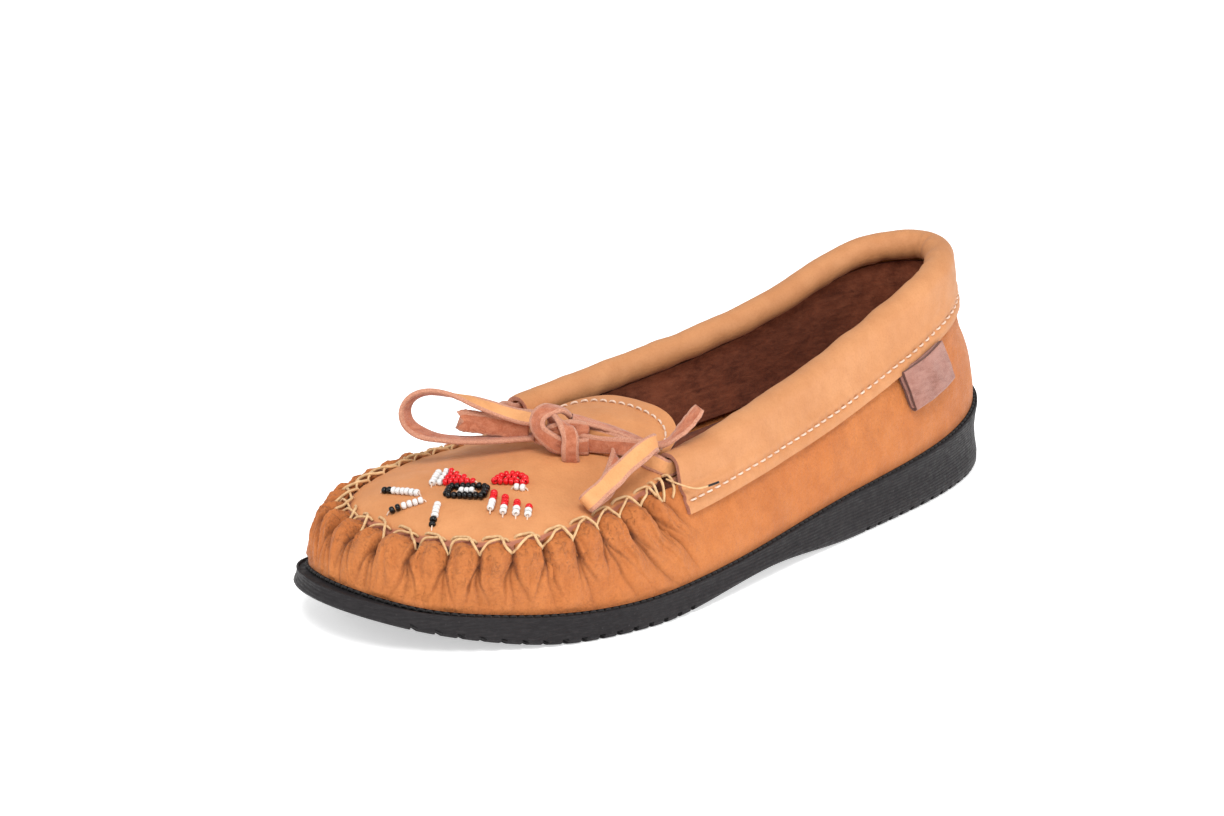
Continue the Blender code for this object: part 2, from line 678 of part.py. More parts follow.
def bead_row(name, corners, material, closed=False):
    """A row of seed beads on one thread, along straight lines between (x, y) corners."""
    corners = np.array(corners + corners[:1] if closed else corners, float)
    run = np.concatenate([[0], np.cumsum(np.linalg.norm(np.diff(corners, axis=0), axis=1))])
    beads = max(2, int(round(run[-1] / BEAD_PITCH)))
    s = np.linspace(0, run[-1], 2 * beads + 1)
    if closed:
        s = s[:-1]
    flat = np.stack([np.interp(s, run, corners[:, k]) for k in (0, 1)], axis=1)
    lift = GAP + BEAD + 0.1
    centre = np.array([(x, y, plug_height((x, y)) + lift) for x, y in flat])
    ahead = np.gradient(centre, axis=0)
    if closed:
        ahead = np.roll(centre, -1, axis=0) - np.roll(centre, 1, axis=0)
    rings = []
    for k, (place, direction) in enumerate(zip(centre, ahead)):
        radius = BEAD if k % 2 else 0.55 * BEAD
        side = np.cross(UP, direction)
        side /= np.linalg.norm(side)
        over = np.cross(direction, side) / np.linalg.norm(direction)
        turn = 2 * np.pi * np.arange(6) / 6
        rings.append(place + radius * (np.outer(np.cos(turn), side) + np.outer(np.sin(turn), over)))
    return loft(name, rings, material, closed)


def on_motif(*pairs):
    """(x, y) places from (along, over) distances in the bead motif, which is turned on the plug."""
    along, over = np.array([0.81, 0.59]), np.array([-0.59, 0.81])
    return [tuple(MOTIF + along * a + over * b) for a, b in pairs]


def make_beads(white, black, red):
    """A geometric motif: bars and a box in front, a wedge, stripes and a dome behind."""
    bars = [[(-15.9, -96.4), (-3.9, -93.2)], [(-6.1, -100.2), (-1.1, -93.6)], [(4.9, -93.6), (10.8, -100.6)]]
    for k, bar in enumerate(bars, 1):
        bead_row(f"bead_bar_{k}", bar, white)
    box = on_motif((-5.2, -2.4), (5.2, -2.4), (5.2, 2.4), (-5.2, 2.4))
    bead_row("bead_box", box, black, closed=True)
    bead_row("bead_box_centre", on_motif((-2.2, 0), (2.2, 0)), white)
    for k, reach in enumerate((1.2, -1.8, -4.4, -6.6)):
        over = 5.2 + 2.3 * k
        bead_row(f"bead_wedge_{k + 1}", on_motif((-8.6, over), (reach, over)), red)
    bead_row("bead_wedge_end", on_motif((-11.0, 4.8), (-11.0, 12.6)), white)
    stripes = [[(12.8, -80.2), (18.6, -86.6)], [(16.8, -79.6), (22.4, -85.4)],
               [(20.6, -78.7), (25.2, -83.2)], [(24.3, -77.6), (27.7, -81.2)]]  # fmt: skip
    for k, stripe in enumerate(stripes, 1):
        bead_row(f"bead_stripe_{k}", stripe, red)
    turn = np.radians(np.linspace(0, 180, 7))
    dome = on_motif(*[(10.8 + 4.3 * np.cos(a), 5.8 + 4.3 * np.sin(a)) for a in turn])
    bead_row("bead_dome", dome, red, closed=True)
    bead_row("bead_dome_core", on_motif((9.3, 7.95), (12.3, 7.95)), red)
    bead_row("bead_dome_bar", on_motif((12.4, 3.3), (15.8, 3.3)), white)


def plug_height(spot):
    """Top of the plug at (x, y), worked out as make_plug() does."""
    x, y = float(spot[0]), float(spot[1])
    u = np.linspace(0.02, 0.96, 200)
    left, right = seam_inside(u), seam_inside(4 - u)
    y_left, y_right = left[:, 1], right[:, 1]
    share = (x - right[:, 0]) / (left[:, 0] - right[:, 0])
    i = int(np.argmin(abs(y_right + share * (y_left - y_right) - y)))
    w = 1 - share[i]
    edge = left[i] * (1 - w) + right[i] * w
    middle = (left[i] + right[i]) / 2
    return float(edge[2] + 4 * w * (1 - w) * (plug_ridge([middle[1]])[0] - middle[2]))


def centre_on_origin():
    """Moves the shoe across, so that the origin is under the middle of its box."""
    for obj in bpy.data.objects:
        obj.location.x -= MIDDLE_X * MM


def main():
    clear_scene()
    hide = leather("wrap_leather", (0.62, 0.27, 0.10), 0.55)
    collar_hide = leather("collar_leather", (0.75, 0.42, 0.20), 0.6)
    suede = leather("brown_suede", (0.16, 0.07, 0.045), 0.9)
    tab_hide = leather("tab_suede", (0.53, 0.29, 0.22), 0.9)
    lace = leather("lace_leather", (0.50, 0.24, 0.14), 0.8)
    rubber = leather("black_rubber", (0.03, 0.03, 0.032), 0.6)
    foam = leather("foam", (0.75, 0.72, 0.65), 0.9)
    board = leather("counter_board", (0.45, 0.36, 0.26), 0.8)
    waxed = leather("waxed_thread", (0.72, 0.52, 0.30), 0.6)
    white = leather("white_thread", (0.85, 0.78, 0.70), 0.7)
    black = leather("black_thread", (0.02, 0.02, 0.02), 0.6)
    bead_white = leather("bead_white", (0.85, 0.85, 0.83), 0.25)
    bead_black = leather("bead_black", (0.015, 0.015, 0.018), 0.25)
    bead_red = leather("bead_red", (0.6, 0.03, 0.03), 0.25)

    make_outsole(rubber)
    make_sole_stitching(black)
    make_footbed(foam, suede)
    make_wrap(hide)
    make_lining(suede, board)
    make_plug(collar_hide)
    make_tongue(collar_hide, white)
    make_collar(collar_hide, white)
    make_heel_seam(waxed)
    make_heel_tab(tab_hide)
    make_lace_run(lace)
    make_knot(lace)
    make_left_loop(lace)
    make_right_loop(lace)
    make_right_end(lace)
    make_pucker_thread(waxed)
    make_beads(bead_white, bead_black, bead_red)
    centre_on_origin()


main()
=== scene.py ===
"""Looks of the moccasin: a gathered leather upper on a black rubber sole.

Lengths are in millimetres until mesh_object() turns them into metres. The toe points
along -Y and the outer side of the foot is +X. A place round the shoe is a number u:
0 at the toe, 1 at the outer throat, 2 at the back of the heel, 3 at the inner throat.
"""

import bpy
import numpy as np
from mathutils import Matrix, Vector


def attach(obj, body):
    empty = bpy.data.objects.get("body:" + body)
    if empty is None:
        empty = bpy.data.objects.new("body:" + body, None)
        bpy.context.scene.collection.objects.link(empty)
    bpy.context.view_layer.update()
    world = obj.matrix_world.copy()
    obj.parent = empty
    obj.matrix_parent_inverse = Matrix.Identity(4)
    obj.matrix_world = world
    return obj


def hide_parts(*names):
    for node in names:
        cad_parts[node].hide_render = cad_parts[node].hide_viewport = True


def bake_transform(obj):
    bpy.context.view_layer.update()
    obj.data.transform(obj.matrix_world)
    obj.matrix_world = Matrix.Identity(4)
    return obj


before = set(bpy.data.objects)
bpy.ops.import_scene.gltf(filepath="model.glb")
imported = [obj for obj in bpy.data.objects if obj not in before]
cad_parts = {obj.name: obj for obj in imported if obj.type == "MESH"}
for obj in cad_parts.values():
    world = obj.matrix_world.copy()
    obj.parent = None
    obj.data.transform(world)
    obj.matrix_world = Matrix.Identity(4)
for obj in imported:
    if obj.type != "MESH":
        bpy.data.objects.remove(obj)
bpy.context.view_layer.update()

MM = 0.001
MIDDLE_X = 2.115  # from the foot's line to the middle of the shoe's box
GAP = 0.3  # between pieces that touch
LENGTH = 250.0
LEDGE = 2.4  # the sole's stitched ledge, outside the wrap
LEATHER, PLUG_LEATHER, COLLAR_LEATHER, TAB_LEATHER = 1.6, 1.3, 1.4, 1.1
ROLL = 4.5  # radius of the collar's roll
STITCH_HEIGHT = 3.6  # of the collar's stitches above its flap's lower edge
LACE_WIDTH, LACE_THICK = 5.4, 1.3
FOAM, SOCK, LINING = 3.0, 1.2, 0.9
LINING_DEPTH = LEATHER + 0.6 + 0.8 + 0.5
BEAD_RADIUS, BEAD_PITCH, BEAD_SIDES = 1.05, 1.55, 14
KNOT = np.array([6.0, -50.0, 46.0])
MOTIF = np.array([6.4, -84.8])
TOE, HEEL = -LENGTH / 2, LENGTH / 2
UP = np.array([0.0, 0.0, 1.0])
BOW_LEFT = np.array([-0.69, -0.72, 0.0]) / np.hypot(0.69, 0.72)
BOW_ACROSS = np.array([0.72, -0.69, 0.0]) / np.hypot(0.69, 0.72)
RANDOM = np.random.default_rng(7)

OUTLINE_POINTS = [
    (-5.5, TOE), (16, -118), (30.4, -100), (42, -75), (47, -50), (46.4, -31), (44, -10),
    (40.3, 12), (36.2, 40), (32.3, 70), (25.1, 100), (14.1, 118.3), (0, HEEL), (-14.3, 118.3),
    (-25.6, 100), (-30, 70), (-30, 40), (-32, 12), (-36, -12), (-39.4, -33), (-42.1, -52),
    (-42.5, -76), (-37.3, -100), (-27, -117),
]
OUTLINE_MARKS = (0, 5, 12, 19)
TOP_POINTS = [
    (-9, -108.5, 27.8), (10, -105.8, 28.4), (25, -99.5, 29.9), (35.5, -89, 31.2), (39, -76, 32.1),
    (38, -62, 32.7), (36.3, -47, 33.4), (35.8, -33, 34.4), (34.6, -15, 36.9), (31.2, 10, 40.6),
    (26, 40, 46.1), (22.4, 70, 54.7), (15.6, 98.8, 63.4), (-0.3, 110.6, 65.4), (-16.2, 99.6, 63.4),
    (-23.6, 70, 54.2), (-27.3, 40, 45.4), (-31.5, 10, 39.9), (-33.8, -15, 36.9), (-34.2, -35, 34.8),
    (-33, -50, 33.3), (-34.3, -66, 32.6), (-33.8, -82, 31.8), (-30.5, -98, 30), (-22, -106.5, 28.4),
]
TOP_MARKS = (0, 7, 13, 19)
SOLE_TOP = [(TOE, 17), (-112, 13.2), (-100, 11), (-80, 8.8), (-60, 8), (-40, 8.3), (-20, 9.3),
            (0, 10.6), (20, 12.2), (40, 13.9), (60, 15.3), (80, 16.8), (100, 19), (HEEL, 24)]
PLUG_RIDGE = [(-109, 27.6), (-100, 32.4), (-90, 35.2), (-80, 37), (-70, 38.5), (-60, 40),
              (-50, 41.5), (-40, 43), (-31, 44.4), (-14, 46)]
# Gathers: how far each stitch is from the toe along the seam, inner side below 0.
GATHERS = np.array([
    -86, -79, -71.5, -64.4, -57.8, -51, -44.7, -38.6, -32.5, -26.5, -20.5, -13.5, -6.5,
    0.5, 9, 20, 29.5, 38.8, 47.6, 56.2, 64.9, 73.8, 83, 92.4, 100,
])


# ---------------------------------------------------------------- curves and surfaces


def spline(knots, values):
    """A natural cubic spline through values at knots, as a function of the knot."""
    x = np.asarray(knots, float)
    y = np.asarray(values, float).reshape(len(x), -1)
    h = np.diff(x)
    system, right = np.eye(len(x)), np.zeros_like(y)
    for i in range(1, len(x) - 1):
        system[i, i - 1 : i + 2] = h[i - 1], 2 * (h[i - 1] + h[i]), h[i]
        right[i] = 6 * ((y[i + 1] - y[i]) / h[i] - (y[i] - y[i - 1]) / h[i - 1])
    bend = np.linalg.solve(system, right)

    def at(t):
        t = np.atleast_1d(np.asarray(t, float))
        i = np.clip(np.searchsorted(x, t) - 1, 0, len(h) - 1)
        a = ((x[i + 1] - t) / h[i])[:, None]
        b = ((t - x[i]) / h[i])[:, None]
        curve = (a**3 - a) * bend[i] + (b**3 - b) * bend[i + 1]
        return a * y[i] + b * y[i + 1] + curve * (h[i] ** 2)[:, None] / 6

    return at


def running(points):
    """How far along a line of points each of them is."""
    return np.concatenate([[0], np.cumsum(np.linalg.norm(np.diff(points, axis=0), axis=1))])


def height(pairs):
    """A smooth height over y, from (y, z) pairs."""
    curve = spline(*zip(*pairs))
    low, high = pairs[0][0], pairs[-1][0]
    return lambda y: curve(np.clip(y, low, high))[:, 0]


def closed_line(points, marks):
    """A smooth closed line through points, as a function of u, whose whole numbers are marks."""
    points = np.asarray(points, float)
    count, wrap = len(points), 4
    chain = np.vstack([points[-wrap:], points, points[: wrap + 1]])
    knots = running(chain)
    start, end = knots[wrap], knots[wrap + count]
    fine = np.linspace(start, end, 3001)
    dense = spline(knots, chain)(fine)
    run = running(dense)
    total = run[-1]
    marked = [np.interp(knots[wrap + m], fine, run) for m in marks]
    laps = [m + lap * total for lap in (-1, 0, 1) for m in marked]
    place = spline(np.arange(-4, 8), laps)

    def at(u):
        s = place(np.mod(u, 4.0))[:, 0] % total
        return np.stack([np.interp(s, run, dense[:, k]) for k in range(dense.shape[1])], axis=1)

    return at


outline = closed_line(OUTLINE_POINTS, OUTLINE_MARKS)
top_edge = closed_line(TOP_POINTS, TOP_MARKS)
sole_top = height(SOLE_TOP)
plug_ridge = height(PLUG_RIDGE)


def smoothstep(t):
    t = np.clip(t, 0, 1)
    return t * t * (3 - 2 * t)


def sole_bottom(y):
    y = np.asarray(y, float)
    spring = 12 * np.clip((-72 - y) / 53, 0, 1) ** 1.8
    waist = np.where((y > -50) & (y < 42), 3.4 * np.sin(np.pi * (y + 50) / 92) ** 2, 0)
    return spring + waist


def outward(u):
    """The horizontal direction away from the shoe at u."""
    step = 0.01
    run = outline(u + step) - outline(u - step)
    run /= np.linalg.norm(run, axis=1)[:, None]
    return np.stack([run[:, 1], -run[:, 0], np.zeros(len(run))], axis=1)


def sole_ring(u, inset, z):
    """The sole's edge moved in by inset, at heights z(y)."""
    flat = outline(u)
    ring = np.column_stack([flat, z(flat[:, 1])])
    return ring - outward(u) * np.reshape(inset, (-1, 1))


def from_toe(u):
    return np.minimum(np.mod(u, 4.0), 4 - np.mod(u, 4.0))


def front_share(u):
    """1 along the plug seam, 0 along the collar, and a smooth step at the throat."""
    return smoothstep((1.0 - from_toe(u)) / 0.3)


def wall(u, v):
    """The wrap's outer face without its gathers: v goes from 0 at the sole to 1 at its edge."""
    u, v = np.atleast_1d(u), np.atleast_1d(v)
    foot = sole_ring(u, LEDGE, lambda y: sole_top(y) + GAP)
    top, out = top_edge(u), outward(u)
    rise = top[:, 2] - foot[:, 2]
    lean = ((foot - top) * out).sum(axis=1)
    front = front_share(u)
    heel = smoothstep((foot[:, 1] - 55) / 55)
    belly = foot + out * (1.2 - 0.1 * lean - 0.7 * heel)[:, None] + UP * (0.35 * rise)[:, None]
    shoulder_out = front * (0.6 * lean + 1.6) + (1 - front) * (0.22 * lean + 1.0 - 1.6 * heel)
    shoulder_down = rise * (0.02 * front + 0.36 * (1 - front))
    shoulder = top + out * shoulder_out[:, None] - UP * shoulder_down[:, None]
    a, b, c, d = (1 - v) ** 3, 3 * v * (1 - v) ** 2, 3 * v * v * (1 - v), v**3
    parts = zip((a, b, c, d), (foot, belly, shoulder, top))
    return sum(p[:, None, :] * weight[None, :, None] for weight, p in parts)


def wall_normal(u, v):
    """Outward normals of the wall at each u and v."""
    u, v = np.atleast_1d(u), np.atleast_1d(v)
    e = 0.01
    along = wall(u + e, v) - wall(u - e, v)
    rising = wall(u, np.clip(v + e, 0, 1)) - wall(u, np.clip(v - e, 0, 1))
    normal = np.cross(along, rising)
    return normal / np.linalg.norm(normal, axis=2)[:, :, None]


def wall_at_depth(u, v, depth):
    return wall(u, v) - wall_normal(u, v) * depth


def v_below_top(u, drop):
    """For each u, the v that lies drop below the upper edge, along the wall."""
    v = np.linspace(0, 1, 81)
    lines = wall(u, v)[:, ::-1]
    steps = np.linalg.norm(np.diff(lines, axis=1), axis=2)
    runs = np.concatenate([np.zeros((len(lines), 1)), np.cumsum(steps, axis=1)], axis=1)
    drops = np.broadcast_to(drop, len(lines))
    return np.array([np.interp(d, run, v[::-1]) for d, run in zip(drops, runs)])


def v_above_sole(u, rise):
    """For each u, the v whose height above the wall's foot is rise."""
    v = np.linspace(0, 1, 81)
    return np.array([np.interp(rise, line - line[0], v) for line in wall(u, v)[:, :, 2]])


def wall_patch(u, low, high, count, depth):
    """Wall points at depth, with v from low to high (both per u), as a grid."""
    share = np.linspace(0, 1, count)
    rows = low[:, None] * (1 - share) + high[:, None] * share
    depths = np.broadcast_to(depth, rows.shape)
    patch = [wall_at_depth(p, v, d[None, :, None])[0] for p, v, d in zip(u, rows, depths)]
    return np.array(patch)


SEAM_U = np.linspace(-1.3, 1.3, 2601)
SEAM_RUN = running(top_edge(SEAM_U))
SEAM_RUN -= np.interp(0, SEAM_U, SEAM_RUN)


def seam_run(u):
    """Distance along the seam from the toe, below 0 on the inner side."""
    u = np.mod(np.asarray(u, float) + 2, 4) - 2
    return np.interp(u, SEAM_U, SEAM_RUN)


def seam_u(run):
    return np.interp(run, SEAM_RUN, SEAM_U)


def waves(x, y, size, seed, count=14):
    """Smooth random bumps, about size across, between -1 and 1."""
    random = np.random.default_rng(seed)
    total = 0
    for _ in range(count):
        angle, phase = random.uniform(0, 2 * np.pi, 2)
        k = 2 * np.pi / (size * random.uniform(0.7, 1.6))
        total = total + np.sin(k * (np.cos(angle) * x + np.sin(angle) * y) + phase)
    return total / np.sqrt(count)


def smooth_path(points, count):
    """count points evenly spaced along a smooth curve through points."""
    points = np.asarray(points, float)
    knots = running(points)
    dense = spline(knots, points)(np.linspace(0, knots[-1], 600))
    run = running(dense)
    s = np.linspace(0, run[-1], count)
    return np.stack([np.interp(s, run, dense[:, k]) for k in range(points.shape[1])], axis=1)


def length_of(path):
    return float(np.linalg.norm(np.diff(path, axis=0), axis=1).sum())


# ---------------------------------------------------------------- meshes


def grid_faces(rows, columns, wrap=False):
    """Quads over a grid of points; wrap joins the last column to the first."""
    r = np.arange(rows - 1)[:, None] * columns
    c = np.arange(columns if wrap else columns - 1)[None, :]
    d = (c + 1) % columns
    return np.stack([r + c, r + d, r + columns + d, r + columns + c], axis=-1).reshape(-1, 4)


def ladder(first, count):
    """Faces that fill a ring straight across."""
    rungs = [(first + i, first + i + 1, first + count - i - 1, first + (count - i) % count)
             for i in range(count // 2)]
    return [tuple(dict.fromkeys(face)) for face in rungs]


def to_row(points):
    """Points in metres in the row frame, whose origin is under the middle of the shoe's box."""
    return (np.asarray(points, float) - [MIDDLE_X, 0, 0]) * MM


def mesh_object(name, points, faces, materials, values=None, slots=None, smooth=True):
    """A mesh object from points in millimetres. values are point attributes for its materials."""
    mesh = bpy.data.meshes.new(name)
    faces = faces.tolist() if isinstance(faces, np.ndarray) else [list(f) for f in faces]
    mesh.from_pydata(to_row(points).tolist(), [], faces)
    for key, data in (values or {}).items():
        layer = mesh.attributes.new(key, "FLOAT", "POINT")
        layer.data.foreach_set("value", np.asarray(data, np.float32).ravel())
    for material in materials:
        mesh.materials.append(material)
    if slots is not None:
        mesh.polygons.foreach_set("material_index", np.asarray(slots, np.int32))
    mesh.validate()
    if smooth:
        mesh.shade_smooth()
    obj = bpy.data.objects.new(name, mesh)
    bpy.context.scene.collection.objects.link(obj)
    return obj


def grid_object(name, grid, materials, values=None, wrap=False, flip=False):
    rows, columns = grid.shape[:2]
    faces = grid_faces(rows, columns, wrap)
    if flip:
        faces = faces[:, ::-1]
    return mesh_object(name, grid.reshape(-1, 3), faces, materials, values)


def apply_modifiers(obj):
    """Turns an object's modifiers into its mesh."""
    depsgraph = bpy.context.evaluated_depsgraph_get()
    mesh = bpy.data.meshes.new_from_object(obj.evaluated_get(depsgraph))
    obj.modifiers.clear()
    obj.data = mesh
    return obj


def thicken(obj, thickness, edge=0.25, rim_slot=0):
    """Gives a skin its leather's thickness, inwards, with softened cut edges."""
    solid = obj.modifiers.new("thickness", "SOLIDIFY")
    solid.thickness = thickness * MM
    solid.offset = -1.0
    solid.material_offset_rim = rim_slot
    bevel = obj.modifiers.new("cut_edge", "BEVEL")
    bevel.width = edge * MM
    bevel.segments = 2
    bevel.limit_method = "ANGLE"
    bevel.angle_limit = np.radians(65)
    return apply_modifiers(obj)


def fit(obj, body, slot, *nodes):
    """Puts a finished piece on its body and hides the CAD nodes that it replaces. Its slot argument is not
    used.
    """
    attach(obj, body)
    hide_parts(*nodes)


def sew(name, stitches, look, body, slot, node):
    """Makes a piece of a row of stitches."""
    fit(mesh_object(name, *stitches, [LOOKS[look]]), body, slot, node)


def join(name, objects):
    """One object from several, keeping their materials."""
    vertices, faces, slots, materials = [], [], [], []
    for obj in objects:
        base = len(vertices)
        lookup = []
        for material in obj.data.materials:
            if material not in materials:
                materials.append(material)
            lookup.append(materials.index(material))
        vertices += [v.co[:] for v in obj.data.vertices]
        faces += [[base + i for i in p.vertices] for p in obj.data.polygons]
        slots += [lookup[p.material_index] for p in obj.data.polygons]
        bpy.data.objects.remove(obj, do_unlink=True)
    return mesh_object(name, np.array(vertices) / MM + [MIDDLE_X, 0, 0], faces, materials, slots=slots)


def frames(path, hint):
    """Forward, side and face directions along a path, with side as near hint as it can be."""
    ahead = np.gradient(path, axis=0)
    ahead /= np.linalg.norm(ahead, axis=1)[:, None]
    side = hint - (hint * ahead).sum(axis=1)[:, None] * ahead
    side /= np.linalg.norm(side, axis=1)[:, None]
    return ahead, side, np.cross(ahead, side)


def sweep(path, side, face, section):
    """Points of a section, given as (side, face) pairs for each place, carried along path."""
    return path[:, None, :] + section[..., :1] * side[:, None, :] + section[..., 1:] * face[:, None, :]


def tube_parts(path, radius, sides=8, squash=1.0):
    """Points and faces of a closed round thread along path."""
    hint = np.tile(UP + [0.013, 0.007, 0], (len(path), 1))
    _, side, face = frames(path, hint)
    turn = 2 * np.pi * np.arange(sides) / sides
    radius = np.broadcast_to(radius, len(path))
    section = np.stack([np.cos(turn), squash * np.sin(turn)], axis=1)
    rings = sweep(path, side, face, radius[:, None, None] * section[None])
    faces = [list(f) for f in grid_faces(len(path), sides, wrap=True)[:, ::-1]]
    faces += [list(range(sides)), list(range((len(path) - 1) * sides, len(path) * sides))[::-1]]
    return rings.reshape(-1, 3), faces


def gather_parts(parts):
    """Joins (points, faces) pairs into one pair."""
    points, faces, base = [], [], 0
    for some, their in parts:
        points.append(some)
        faces += [[base + i for i in f] for f in their]
        base += len(some)
    return np.vstack(points), faces


def stitch(start, end, out, radius):
    """One stitch: a short thread that dips into the leather at both ends."""
    t = np.linspace(0, 1, 7)
    hump = 0.25 * np.sin(np.pi * t) ** 0.6 - 0.35 * (2 * t - 1) ** 4
    path = start + (end - start) * t[:, None] + out * hump[:, None]
    taper = radius * np.clip(1.15 - 0.6 * (2 * t - 1) ** 4, 0, 1)
    return tube_parts(path, taper, sides=6)


def stitch_row(path, out, pitch, share, radius):
    """Stitches along a path: each is share of the pitch long."""
    count = max(1, int(round(length_of(path) / pitch)))
    run = running(path)
    step = run[-1] / count

    def at(s, table):
        return np.array([np.interp(s, run, table[:, k]) for k in range(3)])

    parts = []
    for k in range(count):
        low = (k + 0.5 - share / 2) * step
        high = (k + 0.5 + share / 2) * step
        parts.append(stitch(at(low, path), at(high, path), at((low + high) / 2, out), radius))
    return gather_parts(parts)


# ---------------------------------------------------------------- materials


class Shade:
    """A material's node tree: add() makes a node, links sockets and sets plain values."""

    def __init__(self, name):
        self.material = bpy.data.materials.new(name)
        self.material.use_nodes = True
        self.tree = self.material.node_tree
        self.surface = self.tree.nodes["Principled BSDF"]
        self.place = self.add("TexCoord").outputs["Object"]

    def add(self, kind, **settings):
        node = self.tree.nodes.new("ShaderNode" + kind)
        for key, value in settings.items():
            if hasattr(node, key):
                setattr(node, key, value)
            else:
                self.feed(node, key, value)
        return node

    def feed(self, node, key, value):
        socket = node.inputs[int(key[1:])] if key[1:].isdigit() else node.inputs[key.replace("_", " ")]
        if isinstance(value, bpy.types.NodeSocket):
            self.tree.links.new(value, socket)
        else:
            socket.default_value = value

    def noise(self, scale, detail=3.0, roughness=0.55, distortion=0.0, vector=None):
        node = self.add("TexNoise", Vector=vector or self.place, Scale=scale, Detail=detail,
                        Roughness=roughness, Distortion=distortion)
        return node.outputs["Fac"]

    def cells(self, scale, feature="F1"):
        node = self.add("TexVoronoi", feature=feature, Vector=self.place, Scale=scale)
        return node.outputs["Distance"]

    def stretch(self, scale):
        return self.add("Mapping", Vector=self.place, Scale=scale).outputs["Vector"]

    def attribute(self, name):
        return self.add("Attribute", attribute_name=name).outputs["Fac"]

    def math(self, operation, a, b=0.0, c=0.0):
        return self.add("Math", operation=operation, i0=a, i1=b, i2=c).outputs[0]

    def remap(self, value, low, high, to_low=0.0, to_high=1.0):
        node = self.add("MapRange", Value=value)
        for key, number in (("From Min", low), ("From Max", high), ("To Min", to_low), ("To Max", to_high)):
            node.inputs[key].default_value = number
        return node.outputs[0]

    def mix(self, share, a, b):
        node = self.add("Mix", data_type="RGBA")
        self.feed(node, "i0", share)
        for key, value in (("i6", a), ("i7", b)):
            self.feed(node, key, value if isinstance(value, bpy.types.NodeSocket) else (*value, 1.0))
        return node.outputs[2]

    def bump(self, *layers):
        """Stacks (height socket, depth in millimetres) layers of relief."""
        normal = None
        for relief, depth in layers:
            node = self.add("Bump", Height=relief, Strength=1.0, Distance=depth * MM)
            if normal is not None:
                self.tree.links.new(normal, node.inputs["Normal"])
            normal = node.outputs["Normal"]
        self.tree.links.new(normal, self.surface.inputs["Normal"])

    def finish(self, color, roughness, sheen=0.0, specular=0.35):
        self.feed(self.surface, "Base Color", color)
        self.feed(self.surface, "Roughness", roughness)
        self.feed(self.surface, "Sheen Weight", sheen)
        self.feed(self.surface, "Specular IOR Level", specular)
        return self.material


def srgb(r, g, b):
    """Linear colour from screen values 0 to 255."""
    value = np.array([r, g, b]) / 255.0
    return tuple(np.where(value < 0.04045, value / 12.92, ((value + 0.055) / 1.055) ** 2.4))


def grain_leather(name, base, deep, bright, grain=0.12, pores=900.0, gathers=False):
    """Soft leather: pebbled grain with fine pores and cloudy colour, and with gathers, painted shade in the
    creases and along the foot.
    """
    s = Shade(name)
    clouds = s.remap(s.noise(28, 4, 0.6), 0.3, 0.7)
    patches = s.remap(s.noise(130, 3, 0.6, 0.4), 0.35, 0.65)
    speckle = s.noise(1700, 5, 0.8)
    pebbles = s.cells(pores, "SMOOTH_F1")
    fine = s.noise(4200, 3, 0.7)
    color = s.mix(clouds, base, bright)
    color = s.mix(s.math("MULTIPLY", patches, 0.3), color, deep)
    color = s.mix(s.remap(speckle, 0.5, 0.72, 0.0, 0.42), color, deep)
    color = s.mix(s.remap(speckle, 0.5, 0.3, 0.0, 0.2), color, bright)
    layers = [(pebbles, grain), (speckle, grain * 0.9), (fine, 0.05), (s.noise(90, 3), 0.35)]
    if gathers:
        # Two point attributes: painted shade for the gathers' creases and the wrap's foot, and a weight for the
        # gathered band under the seam.
        painted_shade, gather = s.attribute("painted_shade"), s.attribute("gather")
        # The painted shade's colour: a very deep brown.
        shade_color = tuple(c * 0.32 for c in deep)
        lines = s.remap(s.noise(520, 4, 0.62, 1.2, s.stretch((1.0, 1.0, 0.5))), 0.56, 0.68)
        lines = s.math("MULTIPLY", lines, gather)
        # A little darker towards the seam over the gathers; then painted shade in the fine wrinkle lines and,
        # strongest, in the creases and along the foot.
        color = s.mix(s.math("MULTIPLY", gather, 0.2), color, deep)
        color = s.mix(s.math("MULTIPLY", lines, 0.1), color, shade_color)
        color = s.mix(s.math("MULTIPLY", painted_shade, 0.9), color, shade_color)
        layers.append((s.math("MULTIPLY", lines, -1.0), 0.3))
    rim = s.remap(s.math("ADD", s.attribute("rim"), s.math("MULTIPLY", speckle, 0.3)), 0.55, 0.75)
    color = s.mix(rim, color, srgb(172, 108, 84))
    rough = s.remap(s.noise(260, 3), 0.3, 0.7, 0.52, 0.68)
    s.bump(*layers)
    return s.finish(color, rough, sheen=0.05, specular=0.28)


def suede(name, base, deep, bright, nap=0.22, sheen=0.3):
    """Brushed leather: short nap in soft patches, darker where it lies down."""
    s = Shade(name)
    patches = s.remap(s.noise(90, 4, 0.65, 0.5), 0.32, 0.68)
    streaks = s.noise(700, 3, 0.6, 0.3, s.stretch((1.0, 0.35, 1.0)))
    fuzz = s.noise(3000, 4, 0.75)
    color = s.mix(patches, deep, base)
    color = s.mix(s.remap(streaks, 0.4, 0.72, 0.0, 0.55), color, bright)
    color = s.mix(s.remap(fuzz, 0.42, 0.72, 0.0, 0.4), color, bright)
    s.bump((fuzz, nap), (streaks, 0.2), (s.noise(160, 3), 0.3))
    return s.finish(color, 0.94, sheen=sheen, specular=0.12)


def cut_edge(name, base, deep):
    """The raw edge of split leather: packed fibres."""
    s = Shade(name)
    fibres = s.noise(2200, 4, 0.7)
    color = s.mix(s.remap(fibres, 0.3, 0.7), deep, base)
    s.bump((fibres, 0.2))
    return s.finish(color, 0.9, sheen=0.2, specular=0.15)


